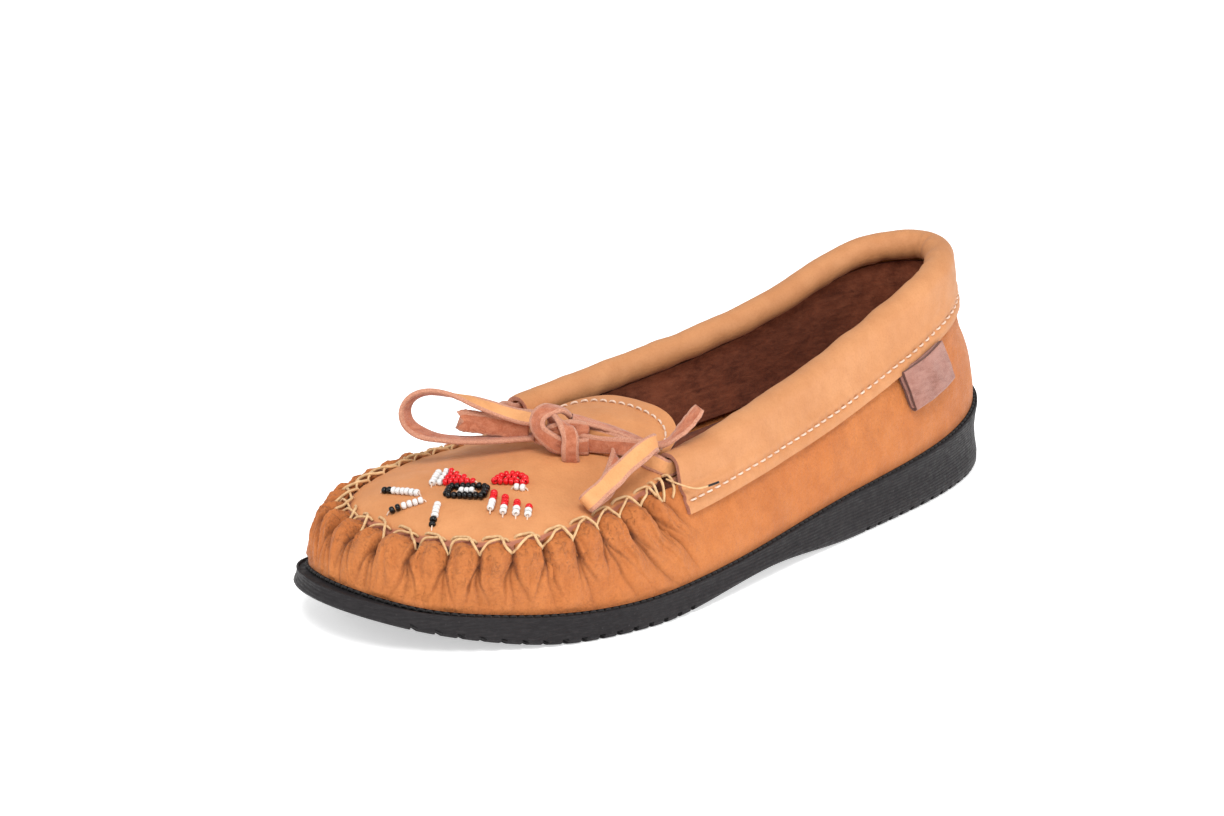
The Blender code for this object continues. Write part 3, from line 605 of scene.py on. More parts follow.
def thread(name, base, deep, roughness=0.5):
    """Plied thread: slanting plies with a waxy or dull surface."""
    s = Shade(name)
    plies = s.add("TexWave", Vector=s.place, Scale=1500.0 / 6.28, Distortion=4.0, Detail=3.0).outputs["Fac"]
    fluff = s.noise(3500, 3)
    color = s.mix(s.math("MULTIPLY", plies, 0.35), base, deep)
    color = s.mix(s.remap(s.noise(300, 2), 0.4, 0.7, 0.0, 0.35), color, deep)
    s.bump((plies, 0.06), (fluff, 0.06))
    return s.finish(color, roughness, sheen=0.1, specular=0.4)


def rubber(name):
    """Moulded black rubber: dusty bloom, mill lines round the side wall and small specks."""
    s = Shade(name)
    split = s.add("SeparateXYZ", Vector=s.place)
    drift = s.noise(60, 2)
    level = s.math("MULTIPLY_ADD", drift, 0.0012, split.outputs["Z"])
    lines = s.math("SINE", s.math("MULTIPLY", level, 6600.0))
    scuffs = s.remap(s.noise(340, 4, 0.65, 0.0, s.stretch((1.0, 1.0, 5.0))), 0.5, 0.75)
    specks = s.remap(s.cells(600), 0.0, 0.16, 1.0, 0.0)
    specks = s.math("MULTIPLY", specks, s.remap(s.noise(45, 2), 0.5, 0.6))
    color = s.mix(scuffs, srgb(24, 21, 23), srgb(42, 39, 40))
    color = s.mix(s.math("MULTIPLY", specks, 0.5), color, srgb(100, 97, 96))
    bloom = s.remap(s.noise(25, 3), 0.4, 0.65, 0.0, 0.25)
    color = s.mix(bloom, color, srgb(46, 43, 44))
    s.bump((lines, 0.05), (s.noise(1800, 3), 0.08), (scuffs, 0.05))
    rough = s.remap(s.noise(500, 2), 0.3, 0.7, 0.5, 0.7)
    return s.finish(color, rough, specular=0.22)


def glass_bead(name, base, bright):
    """Opaque glass: a hard gloss over slightly uneven colour."""
    s = Shade(name)
    cloud = s.remap(s.noise(900, 2), 0.35, 0.7)
    s.bump((s.noise(1400, 2), 0.03),)
    rough = s.remap(s.noise(1200, 2), 0.3, 0.7, 0.12, 0.25)
    return s.finish(s.mix(cloud, base, bright), rough, specular=0.35)


def foam(name):
    s = Shade(name)
    cells = s.cells(1500, "SMOOTH_F1")
    s.bump((cells, 0.25), (s.noise(2500, 3), 0.1))
    # The cell pits are darker than their rims: painted shade in the hollows.
    color = s.mix(s.remap(cells, 0.1, 0.6), srgb(205, 196, 178), srgb(232, 226, 212))
    return s.finish(color, 0.95, sheen=0.2)


def board(name):
    s = Shade(name)
    fibres = s.noise(900, 5, 0.7, 1.0)
    s.bump((fibres, 0.15))
    return s.finish(s.mix(s.remap(fibres, 0.35, 0.65), srgb(150, 124, 92), srgb(188, 164, 128)), 0.85)


def paper(name):
    """The pale floor under the shoe."""
    s = Shade(name)
    grain = s.noise(180, 3)
    s.bump((grain, 0.02))
    s.feed(s.surface, "Emission Color", (1.0, 1.0, 1.0, 1.0))
    s.feed(s.surface, "Emission Strength", 0.5)
    color = s.mix(s.remap(grain, 0.4, 0.6), (0.93, 0.93, 0.93), (0.95, 0.95, 0.95))
    return s.finish(color, 0.9, specular=0.1)


LOOKS = {
    "wrap": grain_leather("wrap_deerskin", srgb(186, 107, 50), srgb(144, 72, 27), srgb(196, 120, 62), 0.26,
                          950, gathers=True),
    "plug": grain_leather("plug_deerskin", srgb(200, 134, 84), srgb(178, 112, 65),
                          srgb(208, 144, 94), 0.07, 1200),
    "collar": grain_leather("collar_deerskin", srgb(190, 130, 84), srgb(168, 106, 62), srgb(200, 141, 95), 0.07,
                            1200),
    "edge": cut_edge("leather_cut_edge", srgb(188, 128, 102), srgb(146, 92, 72)),
    "tab": suede("tab_suede", srgb(158, 110, 97), srgb(126, 82, 71), srgb(178, 133, 120), 0.14),
    # The heel tab's cut edge, made dark: partly its raw edge, partly painted shade for the gap inside the
    # folded tab.
    "tab_edge_and_shade": cut_edge("tab_cut_edge_and_shade", srgb(124, 84, 74), srgb(70, 46, 40)),
    "lace_suede": suede("lace_suede", srgb(190, 112, 78), srgb(150, 80, 54), srgb(210, 142, 110)),
    "lace_grain": grain_leather("lace_grain", srgb(211, 148, 93), srgb(182, 118, 68), srgb(222, 160, 108), 0.07,
                                1300),
    "lace_edge": cut_edge("lace_cut_edge", srgb(206, 152, 126), srgb(168, 110, 86)),
    "lining": suede("lining_suede", srgb(136, 74, 50), srgb(88, 42, 28), srgb(162, 96, 68), 0.2, 0.06),
    "waxed": thread("waxed_thread", srgb(214, 176, 128), srgb(178, 132, 86)),
    "white": thread("white_thread", srgb(226, 202, 182), srgb(192, 158, 134)),
    "black": thread("black_thread", srgb(24, 21, 22), srgb(10, 9, 9), roughness=0.7),
    "rubber": rubber("moulded_rubber"),
    "bead_white": glass_bead("bead_white_glass", srgb(214, 212, 210), srgb(226, 225, 223)),
    "bead_black": glass_bead("bead_black_glass", srgb(5, 5, 6), srgb(10, 10, 11)),
    "bead_red": glass_bead("bead_red_glass", srgb(206, 14, 24), srgb(222, 30, 38)),
    "foam": foam("footbed_foam_cells"),
    "board": board("counter_fibre_board"),
    "floor": paper("studio_floor"),
}


# ---------------------------------------------------------------- camera and light


def make_camera():
    data = bpy.data.cameras.new("camera")
    data.lens = 90.8
    data.sensor_width = 36.0
    data.clip_start = 0.05
    camera = bpy.data.objects.new("camera", data)
    place = Vector((0.6147, -0.5881, 0.3313))
    aim = Vector((-0.0173, -0.0117, 0.0390))
    turn = (aim - place).to_track_quat("-Z", "Y").to_matrix().to_4x4()
    camera.matrix_world = Matrix.Translation(place) @ turn @ Matrix.Rotation(np.radians(0.59), 4, "Z")
    bpy.context.scene.collection.objects.link(camera)
    bpy.context.scene.camera = camera


def make_light(name, place, aim, size, power):
    data = bpy.data.lights.new(name, "AREA")
    data.shape = "RECTANGLE"
    data.size, data.size_y = size
    data.energy = power
    light = bpy.data.objects.new(name, data)
    place = Vector(place)
    turn = (Vector(aim) - place).to_track_quat("-Z", "Y").to_matrix().to_4x4()
    light.matrix_world = Matrix.Translation(place) @ turn
    bpy.context.scene.collection.objects.link(light)


def make_studio():
    world = bpy.data.worlds.new("studio")
    world.use_nodes = True
    sky = world.node_tree.nodes["Background"]
    sky.inputs["Color"].default_value = (1.0, 1.0, 1.0, 1.0)
    sky.inputs["Strength"].default_value = 0.55
    bpy.context.scene.world = world
    make_light("key", (0.55, -0.55, 1.05), (0, -0.02, 0.03), (0.6, 0.5), 12.5)
    make_light("side", (1.1, 0.35, 0.5), (0, 0.02, 0.03), (0.8, 0.6), 5.5)
    make_light("front", (-0.5, -0.9, 0.6), (0, -0.05, 0.03), (0.8, 0.5), 2.5)
    floor = mesh_object("floor", [(-4000, -4000, 0), (4000, -4000, 0), (4000, 4000, 0), (-4000, 4000, 0)],
                        [(0, 1, 2, 3)], [LOOKS["floor"]])
    bpy.context.scene.view_settings.view_transform = "Standard"


# ---------------------------------------------------------------- lace and bow


def strip_mesh(name, route, width=LACE_WIDTH, thick=LACE_THICK, flip=False, ragged=0.0, notch=0.0,
               face_look="lace_grain"):
    """A flat lace: route is (place, width direction) pairs. One face is grain, the rest suede."""
    places = np.array([p for p, _ in route], float)
    hints = np.array([h for _, h in route], float)
    count = max(24, int(length_of(places) / 0.6))
    path = smooth_path(places, count)
    share = np.linspace(0, 1, len(route))
    hint = spline(share, hints)(np.linspace(0, 1, count))
    _, side, face = frames(path, hint)
    if flip:
        face = -face
    s = np.linspace(0, length_of(path), count)
    half = width / 2 * (1 + 0.05 * waves(s, 0 * s, 9, 3 + len(name)) + ragged * waves(s, 0 * s, 1.3, 5))
    turn = np.linspace(-np.pi / 2, np.pi / 2, 5)
    across = np.linspace(-1, 1, 9)[1:-1]
    r = thick / 2
    if ragged:
        half = half * np.interp(s[-1] - s, [0, 1.2, 3.0], [0.72, 0.92, 1.0])
    section = []
    for h, t in zip(half, s):
        bow = 0.35 * r * np.cos(np.pi * across / 2)
        lip = 0.12 * r * waves(t + 0 * across, across * 4, 5, 11)
        front = np.stack([across * (h - r), r + bow * 0.3 + lip], axis=1)
        right = np.stack([h - r + r * np.cos(turn[::-1]), r * np.sin(turn[::-1])], axis=1)
        back = np.stack([across[::-1] * (h - r), -r - bow * 0.2 + lip], axis=1)
        left = np.stack([-(h - r) - r * np.cos(turn), r * np.sin(turn)], axis=1)
        section.append(np.vstack([front, right, back, left]))
    section = np.array(section)
    rings = sweep(path, side, face, section)
    n = section.shape[1]
    ahead = path[-1] - path[-2]
    pull = notch * (1 - np.abs(section[..., 0]) / half[:, None]) * np.clip(1 - (s[-1] - s) / 4, 0, 1)[:, None]
    rings -= pull[..., None] * ahead / np.linalg.norm(ahead)
    faces = grid_faces(count, n, wrap=True)
    slot = np.tile([0] * 7 + [2] * 5 + [1] * 7 + [2] * 5, count - 1)
    if not flip:
        faces = faces[:, ::-1]
    faces = [list(f) for f in faces] + [list(range(n)), list(range((count - 1) * n, count * n))[::-1]]
    slots = np.concatenate([slot, [2, 2]])
    looks = [LOOKS[face_look], LOOKS["lace_suede"], LOOKS["lace_edge"]]
    obj = mesh_object(name, rings.reshape(-1, 3), faces, looks, slots=slots)
    return obj, path


def bow_point(left, up, out=0.0):
    return KNOT + BOW_LEFT * left + UP * up + BOW_ACROSS * out


def bend_at_knot(obj):
    """Bakes a strand's placement into its points."""
    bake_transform(obj)


def make_left_loop():
    shape = [(7.6, 3.6), (12.8, 4.6), (18.6, 6.4), (26.4, 9.0), (33.0, 10.7), (38.2, 10.9), (42.2, 8.8),
             (43.8, 5.0), (42.7, 1.4), (38.9, -1.3), (33, -2.7), (25.2, -3.0), (16.7, -2.4), (7.6, -1.6)]
    tilt = [(0, -0.5), (0, -0.5), (0, -0.4), (0, -0.1), (0, 0.45), (0.1, 0.55), (0.4, 0.4), (0.55, 0),
            (0.4, -0.1), (0.1, 0), (0, 0), (0, 0), (0, 0), (0, 0)]
    route = [(bow_point(*p), BOW_ACROSS + BOW_LEFT * a + UP * b) for p, (a, b) in zip(shape, tilt)]
    obj, path = strip_mesh("bow_loop_left", route)
    bend_at_knot(obj)
    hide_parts("lace_loop_left")
    shape = [(9.0, 0.6), (15.4, 1.3), (22, 2.2), (29.6, 3.0)]
    obj, _ = strip_mesh("bow_end_left", [(bow_point(*p), UP) for p in shape], width=6.6, ragged=0.03, notch=2.4,
                        face_look="lace_suede")
    fit(obj, "lace_end_left", "lace_leather", "lace_end_left")


def make_right_loop():
    facing = (-0.64, -0.33, 0.70)
    route = [
        ((9.2, -49.2, 44.0), (0, 0, 1)), ((13.2, -46.8, 43.8), (0, 0, 1)), ((18.8, -43.2, 43.8), (0, 0, 1)),
        ((24.6, -39.7, 44.0), (0.1, 0.1, 1)), ((28.6, -37.7, 44.8), (0.1, 0, 1)),
        ((30.8, -37.4, 46.4), (-0.1, -0.1, 1)), ((32.2, -39.6, 47.2), (-0.5, -0.3, 0.8)),
        ((33.0, -43.8, 46.2), facing), ((33.8, -50, 44.2), facing), ((34.8, -57.0, 41.4), facing),
        ((35.4, -63.0, 38.9), facing), ((35.4, -66.2, 37.3), facing), ((34.2, -65.8, 36.2), facing),
        ((33.4, -61.8, 36.8), facing), ((31.6, -56.6, 37.8), (-0.7, -0.4, 0.5)),
        ((28.4, -51.6, 38.5), (-0.8, -0.5, 0.2)), ((24.6, -46.4, 39.2), (-0.8, -0.5, 0.4)),
        ((19.8, -42.4, 40.9), (-0.3, -0.3, 0.9)), ((14.6, -44.0, 42.6), (-0.1, 0, 1)),
        ((10.6, -46.6, 43.8), (0, 0, 1)),
    ]
    obj, path = strip_mesh("bow_loop_right", route, flip=True)
    bend_at_knot(obj)
    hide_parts("lace_loop_right")


def make_right_end():
    shape = [(7.6, -47.6, 50.2), (12.0, -42.4, 48.0), (18.6, -35.8, 44.8), (24.4, -32.8, 43.1),
             (28.2, -31.0, 44.2), (30.4, -28.8, 46.8), (32.2, -25.4, 50.8), (33.2, -22.8, 54.2)]
    turned = BOW_ACROSS * 0.8 - BOW_LEFT * 0.55 - UP * 0.25
    hints = [BOW_ACROSS] * 5 + [BOW_ACROSS - BOW_LEFT * 0.1, turned, turned]
    obj, path = strip_mesh("bow_end_right", list(zip(shape, hints)), width=4.6, flip=True, ragged=0.06,
                           face_look="lace_suede")
    bend_at_knot(obj)
    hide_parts("lace_end_right")


def collar_frame(u):
    """Top of the wall, its outward normal, its upward direction and the roll's centre."""
    top = wall(u, 1.0)[:, 0]
    normal = wall_normal(u, 1.0)[:, 0]
    rising = top - wall(u, 0.97)[:, 0]
    rising /= np.linalg.norm(rising, axis=1)[:, None]
    centre = top + rising * (ROLL + GAP) - normal * (ROLL - COLLAR_LEATHER - GAP)
    return top, normal, rising, centre


def make_lace_run():
    """From the knot through the whole collar and back."""
    u = np.linspace(1.02, 2.98, 44)
    _, _, rising, centre = collar_frame(u)
    leads = []
    for end, following, points in (
        (centre[0], centre[1],
         [(8.4, -46.0, 45.0), (16.8, -40.4, 43.8), (22.8, -38.6, 42.3), (28.0, -37.6, 40.8)]),
        (centre[-1], centre[-2],
         [(-0.8, -48.6, 46.6), (-9, -48.5, 45.6), (-20, -48.2, 43.0), (-29, -42, 41.5)]),
    ):
        ahead = (end - following) / np.linalg.norm(end - following)
        leads.append(smooth_path([*points, end + ahead * 2.4], 9))
    path = np.vstack([leads[0], centre, leads[1][::-1]])
    across = np.vstack([np.tile(UP, (9, 1)), rising, np.tile(UP, (9, 1))])
    obj, _ = strip_mesh("lace_in_collar", list(zip(path, across)))
    fit(obj, "shoe", "lace_leather", "lace_run")


def make_knot():
    """The bow's knot: two turns of the lace round a packed core."""
    over = [
        ((-1.5, 5.1, -1), (0.1, 0.3, 1)), ((0.8, 7.0, 1), (0.0, 0.3, 1)), ((3.8, 7.4, 3), (-0.2, -0.3, 1)),
        ((6.2, 6.1, 5), (-0.6, -0.5, 1)), ((6.4, 3.5, 6), (-1, -0.1, 0.8)), ((4.7, 1.2, 6.5), (-1, 0.8, 0.6)),
        ((2.1, -0.6, 7.0), (-0.8, 1, 0.3)), ((-1.0, -2.2, 6.2), (-0.3, 1, 0.2)),
        ((-3.7, -2.8, 4.8), (0, 1, 0.1)),
        ((-7.6, -2.9, 3.6), (0, 1, 0)),
    ]
    tuck = [
        ((3.2, 4.6, 2.0), (0.6, 1, 0.2)), ((0.6, 4.6, 4.6), (0.5, 1, 0.4)), ((-1.8, 3.2, 7.2), (1, 0.6, 0.5)),
        ((-2.8, 0.9, 8.5), (1, 0.1, 0.2)), ((-2.7, -1.6, 8.9), (1, 0, 0.1)), ((-2.8, -4.4, 8.4), (1, 0, 0.1)),
        ((-3.1, -6.6, 6.8), (1, 0, 0.1)), ((-3.0, -7.6, 4.2), (1, 0, 0.1)), ((-2.8, -6.6, 1.8), (1, 0, 0.1)),
    ]
    inner = [
        ((7.4, -0.6, 1.0), (0, 1, 0.2)), ((4.6, -0.2, 3.2), (0, 1, 0.3)), ((1.6, 1.6, 4.6), (0, 1, 0.3)),
        ((-1.6, 2.6, 4.4), (0.1, 1, 0.2)), ((-4.8, 1.6, 2.6), (0.2, 1, 0.2)), ((-7.2, 0.4, 1.0), (0.2, 1, 0)),
    ]

    def placed(shape):
        return [(bow_point(*p), BOW_LEFT * w[0] + UP * w[1] + BOW_ACROSS * w[2]) for p, w in shape]

    bands = [strip_mesh(f"turn_{k}", placed(shape), width=wide, thick=1.6, face_look="lace_suede")[0]
             for k, (shape, wide) in enumerate(((over, 5.4), (tuck, 4.9), (inner, 5.4)))]
    round_it = np.linspace(0, 2 * np.pi, 36, endpoint=False)
    theta, phi = np.meshgrid(np.linspace(0, np.pi, 22), round_it, indexing="ij")
    ball = np.stack([np.sin(theta) * np.cos(phi), np.sin(theta) * np.sin(phi), np.cos(theta)], axis=-1)
    core = KNOT + BOW_LEFT * 0.8 + BOW_ACROSS * 2.2 - UP * 0.8 + ball * np.array([4.6, 4.6, 4.8])
    packed = grid_object("core", core, [LOOKS["lace_suede"]], wrap=True, flip=True)
    knot = join("bow_knot", [*bands, packed])
    fit(knot, "shoe", "lace_leather", "lace_knot")


# ---------------------------------------------------------------- sole


def make_outsole():
    """The rubber sole: waisted side wall, stitched ledge and grooved tread."""
    u = np.arange(560) / 140.0
    profile = [  # share of the thickness, inset, drop below the ledge
        (0.0, 2.0, 0), (0.03, 1.0, 0), (0.1, 0.25, 0), (0.22, 0.0, 0), (0.4, 0.3, 0), (0.6, 0.75, 0),
        (0.8, 0.95, 0), (0.94, 0.85, 0), (0.985, 0.95, 0), (1.0, 1.2, 0), (1.0, 1.45, 0.1), (1.0, 1.7, 0.75),
        (1.0, 2.3, 0.75), (1.0, 2.55, 0.1), (1.0, 3.4, 0),
    ]
    heel_pinch = smoothstep((outline(u)[:, 1] - 60) / 45)
    toe_lip = 2.7 * smoothstep(1 - from_toe(u) / 0.5)
    rings = []
    for share, inset, drop in profile:
        pinch = 0.9 * heel_pinch * np.sin(np.pi * min(share, 1.0)) ** 2

        def level(y, s=share, d=drop):
            return sole_bottom(y) + s * (sole_top(y) - sole_bottom(y)) - d

        rings.append(sole_ring(u, inset + pinch - toe_lip * (inset < 2), level))
    n = len(u)
    faces = [list(f) for f in grid_faces(len(rings), n, wrap=True)]
    faces += ladder(0, n) + ladder((len(rings) - 1) * n, n)
    sole = mesh_object("sole_unit", np.vstack(rings), faces, [LOOKS["rubber"]])
    fill = sole.modifiers.new("fill", "TRIANGULATE")
    fill.min_vertices = 4
    apply_modifiers(sole)
    cutter = make_tread()
    cut = sole.modifiers.new("tread", "BOOLEAN")
    cut.operation = "DIFFERENCE"
    cut.solver = "EXACT"
    cut.object = cutter
    apply_modifiers(sole)
    sole.data.set_sharp_from_angle(angle=np.radians(45))
    bpy.data.objects.remove(cutter, do_unlink=True)
    fit(sole, "shoe", "rubber", "outsole")


def make_tread():
    """Bars that cut the tread's grooves, across the forefoot and the heel."""
    width, depth, reach = 1.7, 2.0, 60.0
    places = [*np.arange(-115.0, -36.0, 5.2), *np.arange(46.0, 120.0, 5.6)]
    points, faces = [], []
    for y in places:
        base = len(points)
        for x in (-reach, reach):
            for dy in (-width / 2, width / 2):
                points += [(x, y + dy, -5.0), (x, y + dy, float(sole_bottom(y + dy)) + depth)]
        a, b, c, d, e, f, g, h = range(base, base + 8)
        faces += [(a, b, d, c), (e, g, h, f), (a, e, f, b), (c, d, h, g), (b, f, h, d), (a, c, g, e)]
    cutter = mesh_object("tread_bars", points, faces, [LOOKS["rubber"]], smooth=False)
    cutter.hide_render = True
    return cutter


def make_sole_stitching():
    u = np.linspace(0, 4, 2000)
    ring = sole_ring(u, 1.95, lambda y: sole_top(y) - 0.2)
    stitches = stitch_row(ring, np.tile(UP, (len(u), 1)), 2.3, 0.72, radius=0.42)
    sew("ledge_stitches", stitches, "black", "shoe", "black_thread", "sole_stitching")


# ---------------------------------------------------------------- inside


def make_inside():
    """Suede lining, suede footbed, and the plain layers that they hide."""
    u = np.linspace(1.06, 2.94, 300)
    low = v_above_sole(u, LEATHER + FOAM + SOCK + 3 * GAP + 0.6)
    high = v_below_top(u, 0.6)
    share = np.linspace(0, 1, 40)
    run = seam_like(u)
    lumps = 0.35 * waves(run[:, None], share[None, :] * 40, 26, 21) + 0.12 * waves(
        run[:, None], share[None, :] * 40, 7, 22)
    grid = wall_patch(u, low, high, 40, LINING_DEPTH - 0.2 * lumps)
    lining = grid_object("suede_lining", grid, [LOOKS["lining"]])
    thicken(lining, LINING, edge=0.2)
    fit(lining, "shoe", "brown_suede", "quarter_lining")
    u = np.arange(240) / 60.0
    toe_room = np.interp(from_toe(u), [0, 0.14, 0.25, 0.4], [3.8, 3.6, 1.4, 0])
    rise = GAP + LEATHER + 2 * GAP + FOAM
    shares = np.array([0.0, 0.15, 0.35, 0.6, 0.8, 0.93, 1.0])
    rings = []
    for level, pull in ((0.0, 0.4), (SOCK * 0.6, 0.0), (SOCK, 0.5)):
        rings.append(sole_ring(u, LEDGE + 3.2 + toe_room + pull, lambda y, z=level: sole_top(y) + rise + z))
    middle = (rings[-1] + rings[-1][(-np.arange(len(u))) % len(u)]) / 2
    for k in shares[1:]:
        ring = rings[-1] * 0 + (1 - k) * rings[2] + k * middle
        dish = -1.6 * smoothstep(k * 1.2) * smoothstep((ring[:, 1] + 60) / 120)
        rings.append(ring + UP * dish[:, None] + UP * (0.15 * waves(ring[:, 0], ring[:, 1], 22, 31))[:, None])
    n = len(u)
    faces = [list(f) for f in grid_faces(len(rings), n, wrap=True)] + ladder(0, n)
    cover = mesh_object("suede_footbed", np.vstack(rings), faces, [LOOKS["lining"]])
    fit(cover, "shoe", "brown_suede", "footbed_cover")
    u = np.linspace(1.55, 2.45, 120)
    low = v_above_sole(u, LEATHER + GAP + 1.5)
    high = v_below_top(u, flap_length(u) + 2.5)
    grid = wall_patch(u, low, high, 24, LEATHER + 0.2)
    counter = grid_object("heel_board", grid, [LOOKS["board"]], flip=True)
    thicken(counter, 0.8, edge=0.2)
    fit(counter, "shoe", "counter_board", "heel_counter")
    paint("footbed_foam", "foam")


def seam_like(u):
    """A rough distance in millimetres for u, for patterns."""
    return np.asarray(u) * 150.0


def paint(node, look):
    """A new material on a CAD node that stays."""
    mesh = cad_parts[node].data
    for k in range(len(mesh.materials)):
        mesh.materials[k] = LOOKS[look]


# ---------------------------------------------------------------- upper


def gather_relief(u, drop):
    """Relief of the gathers: u round the shoe, drop below the seam. Also the strength of painted shade in its
    creases, and a weight for the gathered band.
    """
    run = seam_run(u)
    lean = np.interp(run, [-90, -20, 0, 40, 75, 100], [0.05, 0.22, 0.12, 0.04, 0.3, 0.62])
    slid = run - lean * drop - 0.5 * waves(run * 0.6, drop, 14, 43) * np.clip(drop / 8, 0, 1)
    index = np.interp(slid, GATHERS, np.arange(len(GATHERS)))
    nearest = np.round(index).astype(int)
    off = np.abs(index - nearest)
    side = slid - GATHERS[nearest]
    random = np.random.default_rng(5)
    reach = random.uniform(8.5, 14.0, len(GATHERS))
    reach[-6:] = (13, 15, 16, 20, 24, 16)
    strength = random.uniform(0.9, 1.2, len(GATHERS))
    strength[-4:] = (1.1, 1.2, 1.5, 1.1)
    ridge = np.sin(np.pi * off) ** 0.5
    fade = np.exp(-((drop / reach[nearest]) ** 1.3))
    inside = smoothstep((slid - GATHERS[0] + 5) / 5) * smoothstep((GATHERS[-1] + 5 - slid) / 7)
    calm = 1 - 0.4 * smoothstep((-6 - run) / 20)
    relief = 3.3 * calm * strength[nearest] * (ridge - 0.6) * fade * inside
    pillow = (1.1 * calm - 0.3) * np.sin(np.pi * off) * np.exp(-(((drop - 4.0) / 3.6) ** 2)) * inside
    fork = random.uniform(0.12, 0.34, (2, len(GATHERS)))
    start = random.uniform(3.0, 6.5, len(GATHERS))
    branches = 0.0
    for sign, spread in zip((1, -1), fork):
        line = side - sign * spread[nearest] * (drop - start[nearest])
        window = smoothstep((drop - start[nearest]) / 2) * np.exp(-(((drop - 8) / 7.5) ** 2))
        branches = branches + np.exp(-((line / 0.42) ** 2)) * window
    # Painted shade along each crease and its forks, for the colour only.
    painted_shade = np.exp(-((side / (0.5 + 0.5 * np.exp(-drop / 3))) ** 2)) * fade**1.1 * inside
    folds = 0.46 * waves(slid, drop * 0.3, 3.0, 41) * np.exp(-(((drop - 5) / 10) ** 2)) * inside
    fine = 0.2 * waves(slid * 0.4, drop, 1.35, 42) * np.exp(-drop / 7) * inside
    fine = fine + 0.08 * waves(slid, drop * 0.4, 1.4, 44) * np.exp(-drop / 18) * inside
    relief = relief + pillow + folds - 0.62 * branches * inside + fine
    return relief, np.clip(painted_shade + 0.55 * branches * inside, 0, 1), np.exp(-drop / 16) * inside


def wrap_grid(u, v):
    """The wrap's outer face with its gathers and its soft unevenness."""
    base, normal = wall(u, v), wall_normal(u, v)
    steps = np.linalg.norm(np.diff(base, axis=1), axis=2)
    below = np.cumsum(steps[:, ::-1], axis=1)[:, ::-1]
    drop = np.concatenate([below, np.zeros((len(u), 1))], axis=1)
    height_share = np.broadcast_to(v, drop.shape)
    relief, painted_shade, gather = gather_relief(u[:, None] + 0 * drop, drop)
    settle = smoothstep(height_share / 0.12)
    run = seam_like(u)[:, None] + 0 * drop
    lumps = (0.45 * waves(run, drop, 24, 51) + 0.16 * waves(run, drop, 8, 52)) * settle
    lumps = lumps * (1 - 0.8 * np.exp(-drop / 4))
    back = smoothstep((from_toe(u) - 0.9) / 0.15)[:, None]
    relief = relief * settle * (1 - back) + lumps * (1 - 0.55 * back)
    near = np.exp(-((drop / 1.9) ** 2)) * (1 - back)
    held = relief * (1 - near) + near * np.clip(relief, -0.9, 0.25)
    grid = base + normal * held[..., None]
    curl = np.exp(-((drop / 1.6) ** 2)) * (1 - back)
    inward = -outward(u)[:, None, :]
    grid = grid + inward * (1.6 * curl)[..., None] - UP * (0.7 * curl)[..., None]
    grid = grid + UP * (np.clip(relief, -1.6, 2) * 0.55 * np.exp(-((drop / 3.2) ** 2)) * (1 - back))[..., None]
    # Painted contact shade just above the sole, added to the painted shade of the creases.
    shade = 0.5 * np.exp(-(height_share / 0.05) ** 1.5)
    return grid, normal, np.clip(painted_shade * (1 - back) + shade, 0, 1), gather * (1 - back)


def make_wrap():
    """The moccasin's own leather, gathered round the toe."""
    front = np.linspace(-1.1, 1.1, 1500)
    rear = np.linspace(1.1, 2.9, 420)[1:-1]
    u = np.concatenate([front, rear])
    v = 1 - np.linspace(1, 0, 84) ** 1.3
    outer, normal, painted_shade, gather = wrap_grid(u, v)
    back = [52, 66, 74, 79, 83]
    inner = outer[:, back] - normal[:, back] * (LEATHER * 0.8)
    floor = sole_ring(u, LEDGE + LEATHER, lambda y: sole_top(y) + GAP + LEATHER)
    grid = np.concatenate([outer, inner[:, ::-1], floor[:, None]], axis=1)
    pad = np.zeros((len(u), len(back) + 1))
    # Point attributes for the wrap's colour: painted shade in the creases and at the foot, and the gathered
    # band.
    values = {
        "painted_shade": np.concatenate([painted_shade, pad], axis=1),
        "gather": np.concatenate([gather, pad], axis=1),
    }
    loops = grid.transpose(1, 0, 2)
    values = {k: a.T for k, a in values.items()}
    n = len(u)
    faces = [list(f) for f in grid_faces(len(loops), n, wrap=True)]
    toe = int(np.argmin(np.abs(u)))  # the caps' rungs run straight across the shoe, from the toe to the heel
    for ring in (0, (len(loops) - 1) * n):
        faces += [[ring + (k - ring + toe) % n for k in f] for f in ladder(ring, n)]
    obj = mesh_object("gathered_wrap", loops.reshape(-1, 3), faces, [LOOKS["wrap"]], values)
    fit(obj, "shoe", "wrap_leather", "wrap")


def crown(y, x):
    """Height of the tongue over (x, y)."""
    y, x = np.broadcast_arrays(np.asarray(y, float), np.asarray(x, float))
    ridge = plug_ridge(y.ravel()).reshape(y.shape)
    fall = np.interp(y, [-110, -95, -80, -60, -31, -14], [0.0042, 0.0045, 0.0045, 0.0062, 0.0084, 0.0072])
    return ridge - fall * (x - 1.0) ** 2


def tongue_share(y):
    """0 on the gathered panel, and 1 where the tongue's own crown takes over."""
    return smoothstep((y + 50) / 14)


def seam_inside(u):
    return top_edge(u) - outward(u) * (LEATHER + 2 * GAP)


def plug_rows(u, w):
    """The plug's top face for rows u and places w across, from the outer side to the inner one."""
    left, right = seam_inside(u), seam_inside(4 - u)
    flat = left[:, None, :] * (1 - w)[None, :, None] + right[:, None, :] * w[None, :, None]
    bulge = 4 * w * (1 - w)
    middle = plug_ridge(flat[:, len(w) // 2, 1]) - flat[:, len(w) // 2, 2]
    return flat + UP * (middle[:, None] * bulge[None, :])[:, :, None]


PLUG_TABLE = plug_rows(np.linspace(0.02, 0.96, 160), (1 - np.cos(np.pi * np.linspace(0, 1, 81))) / 2)


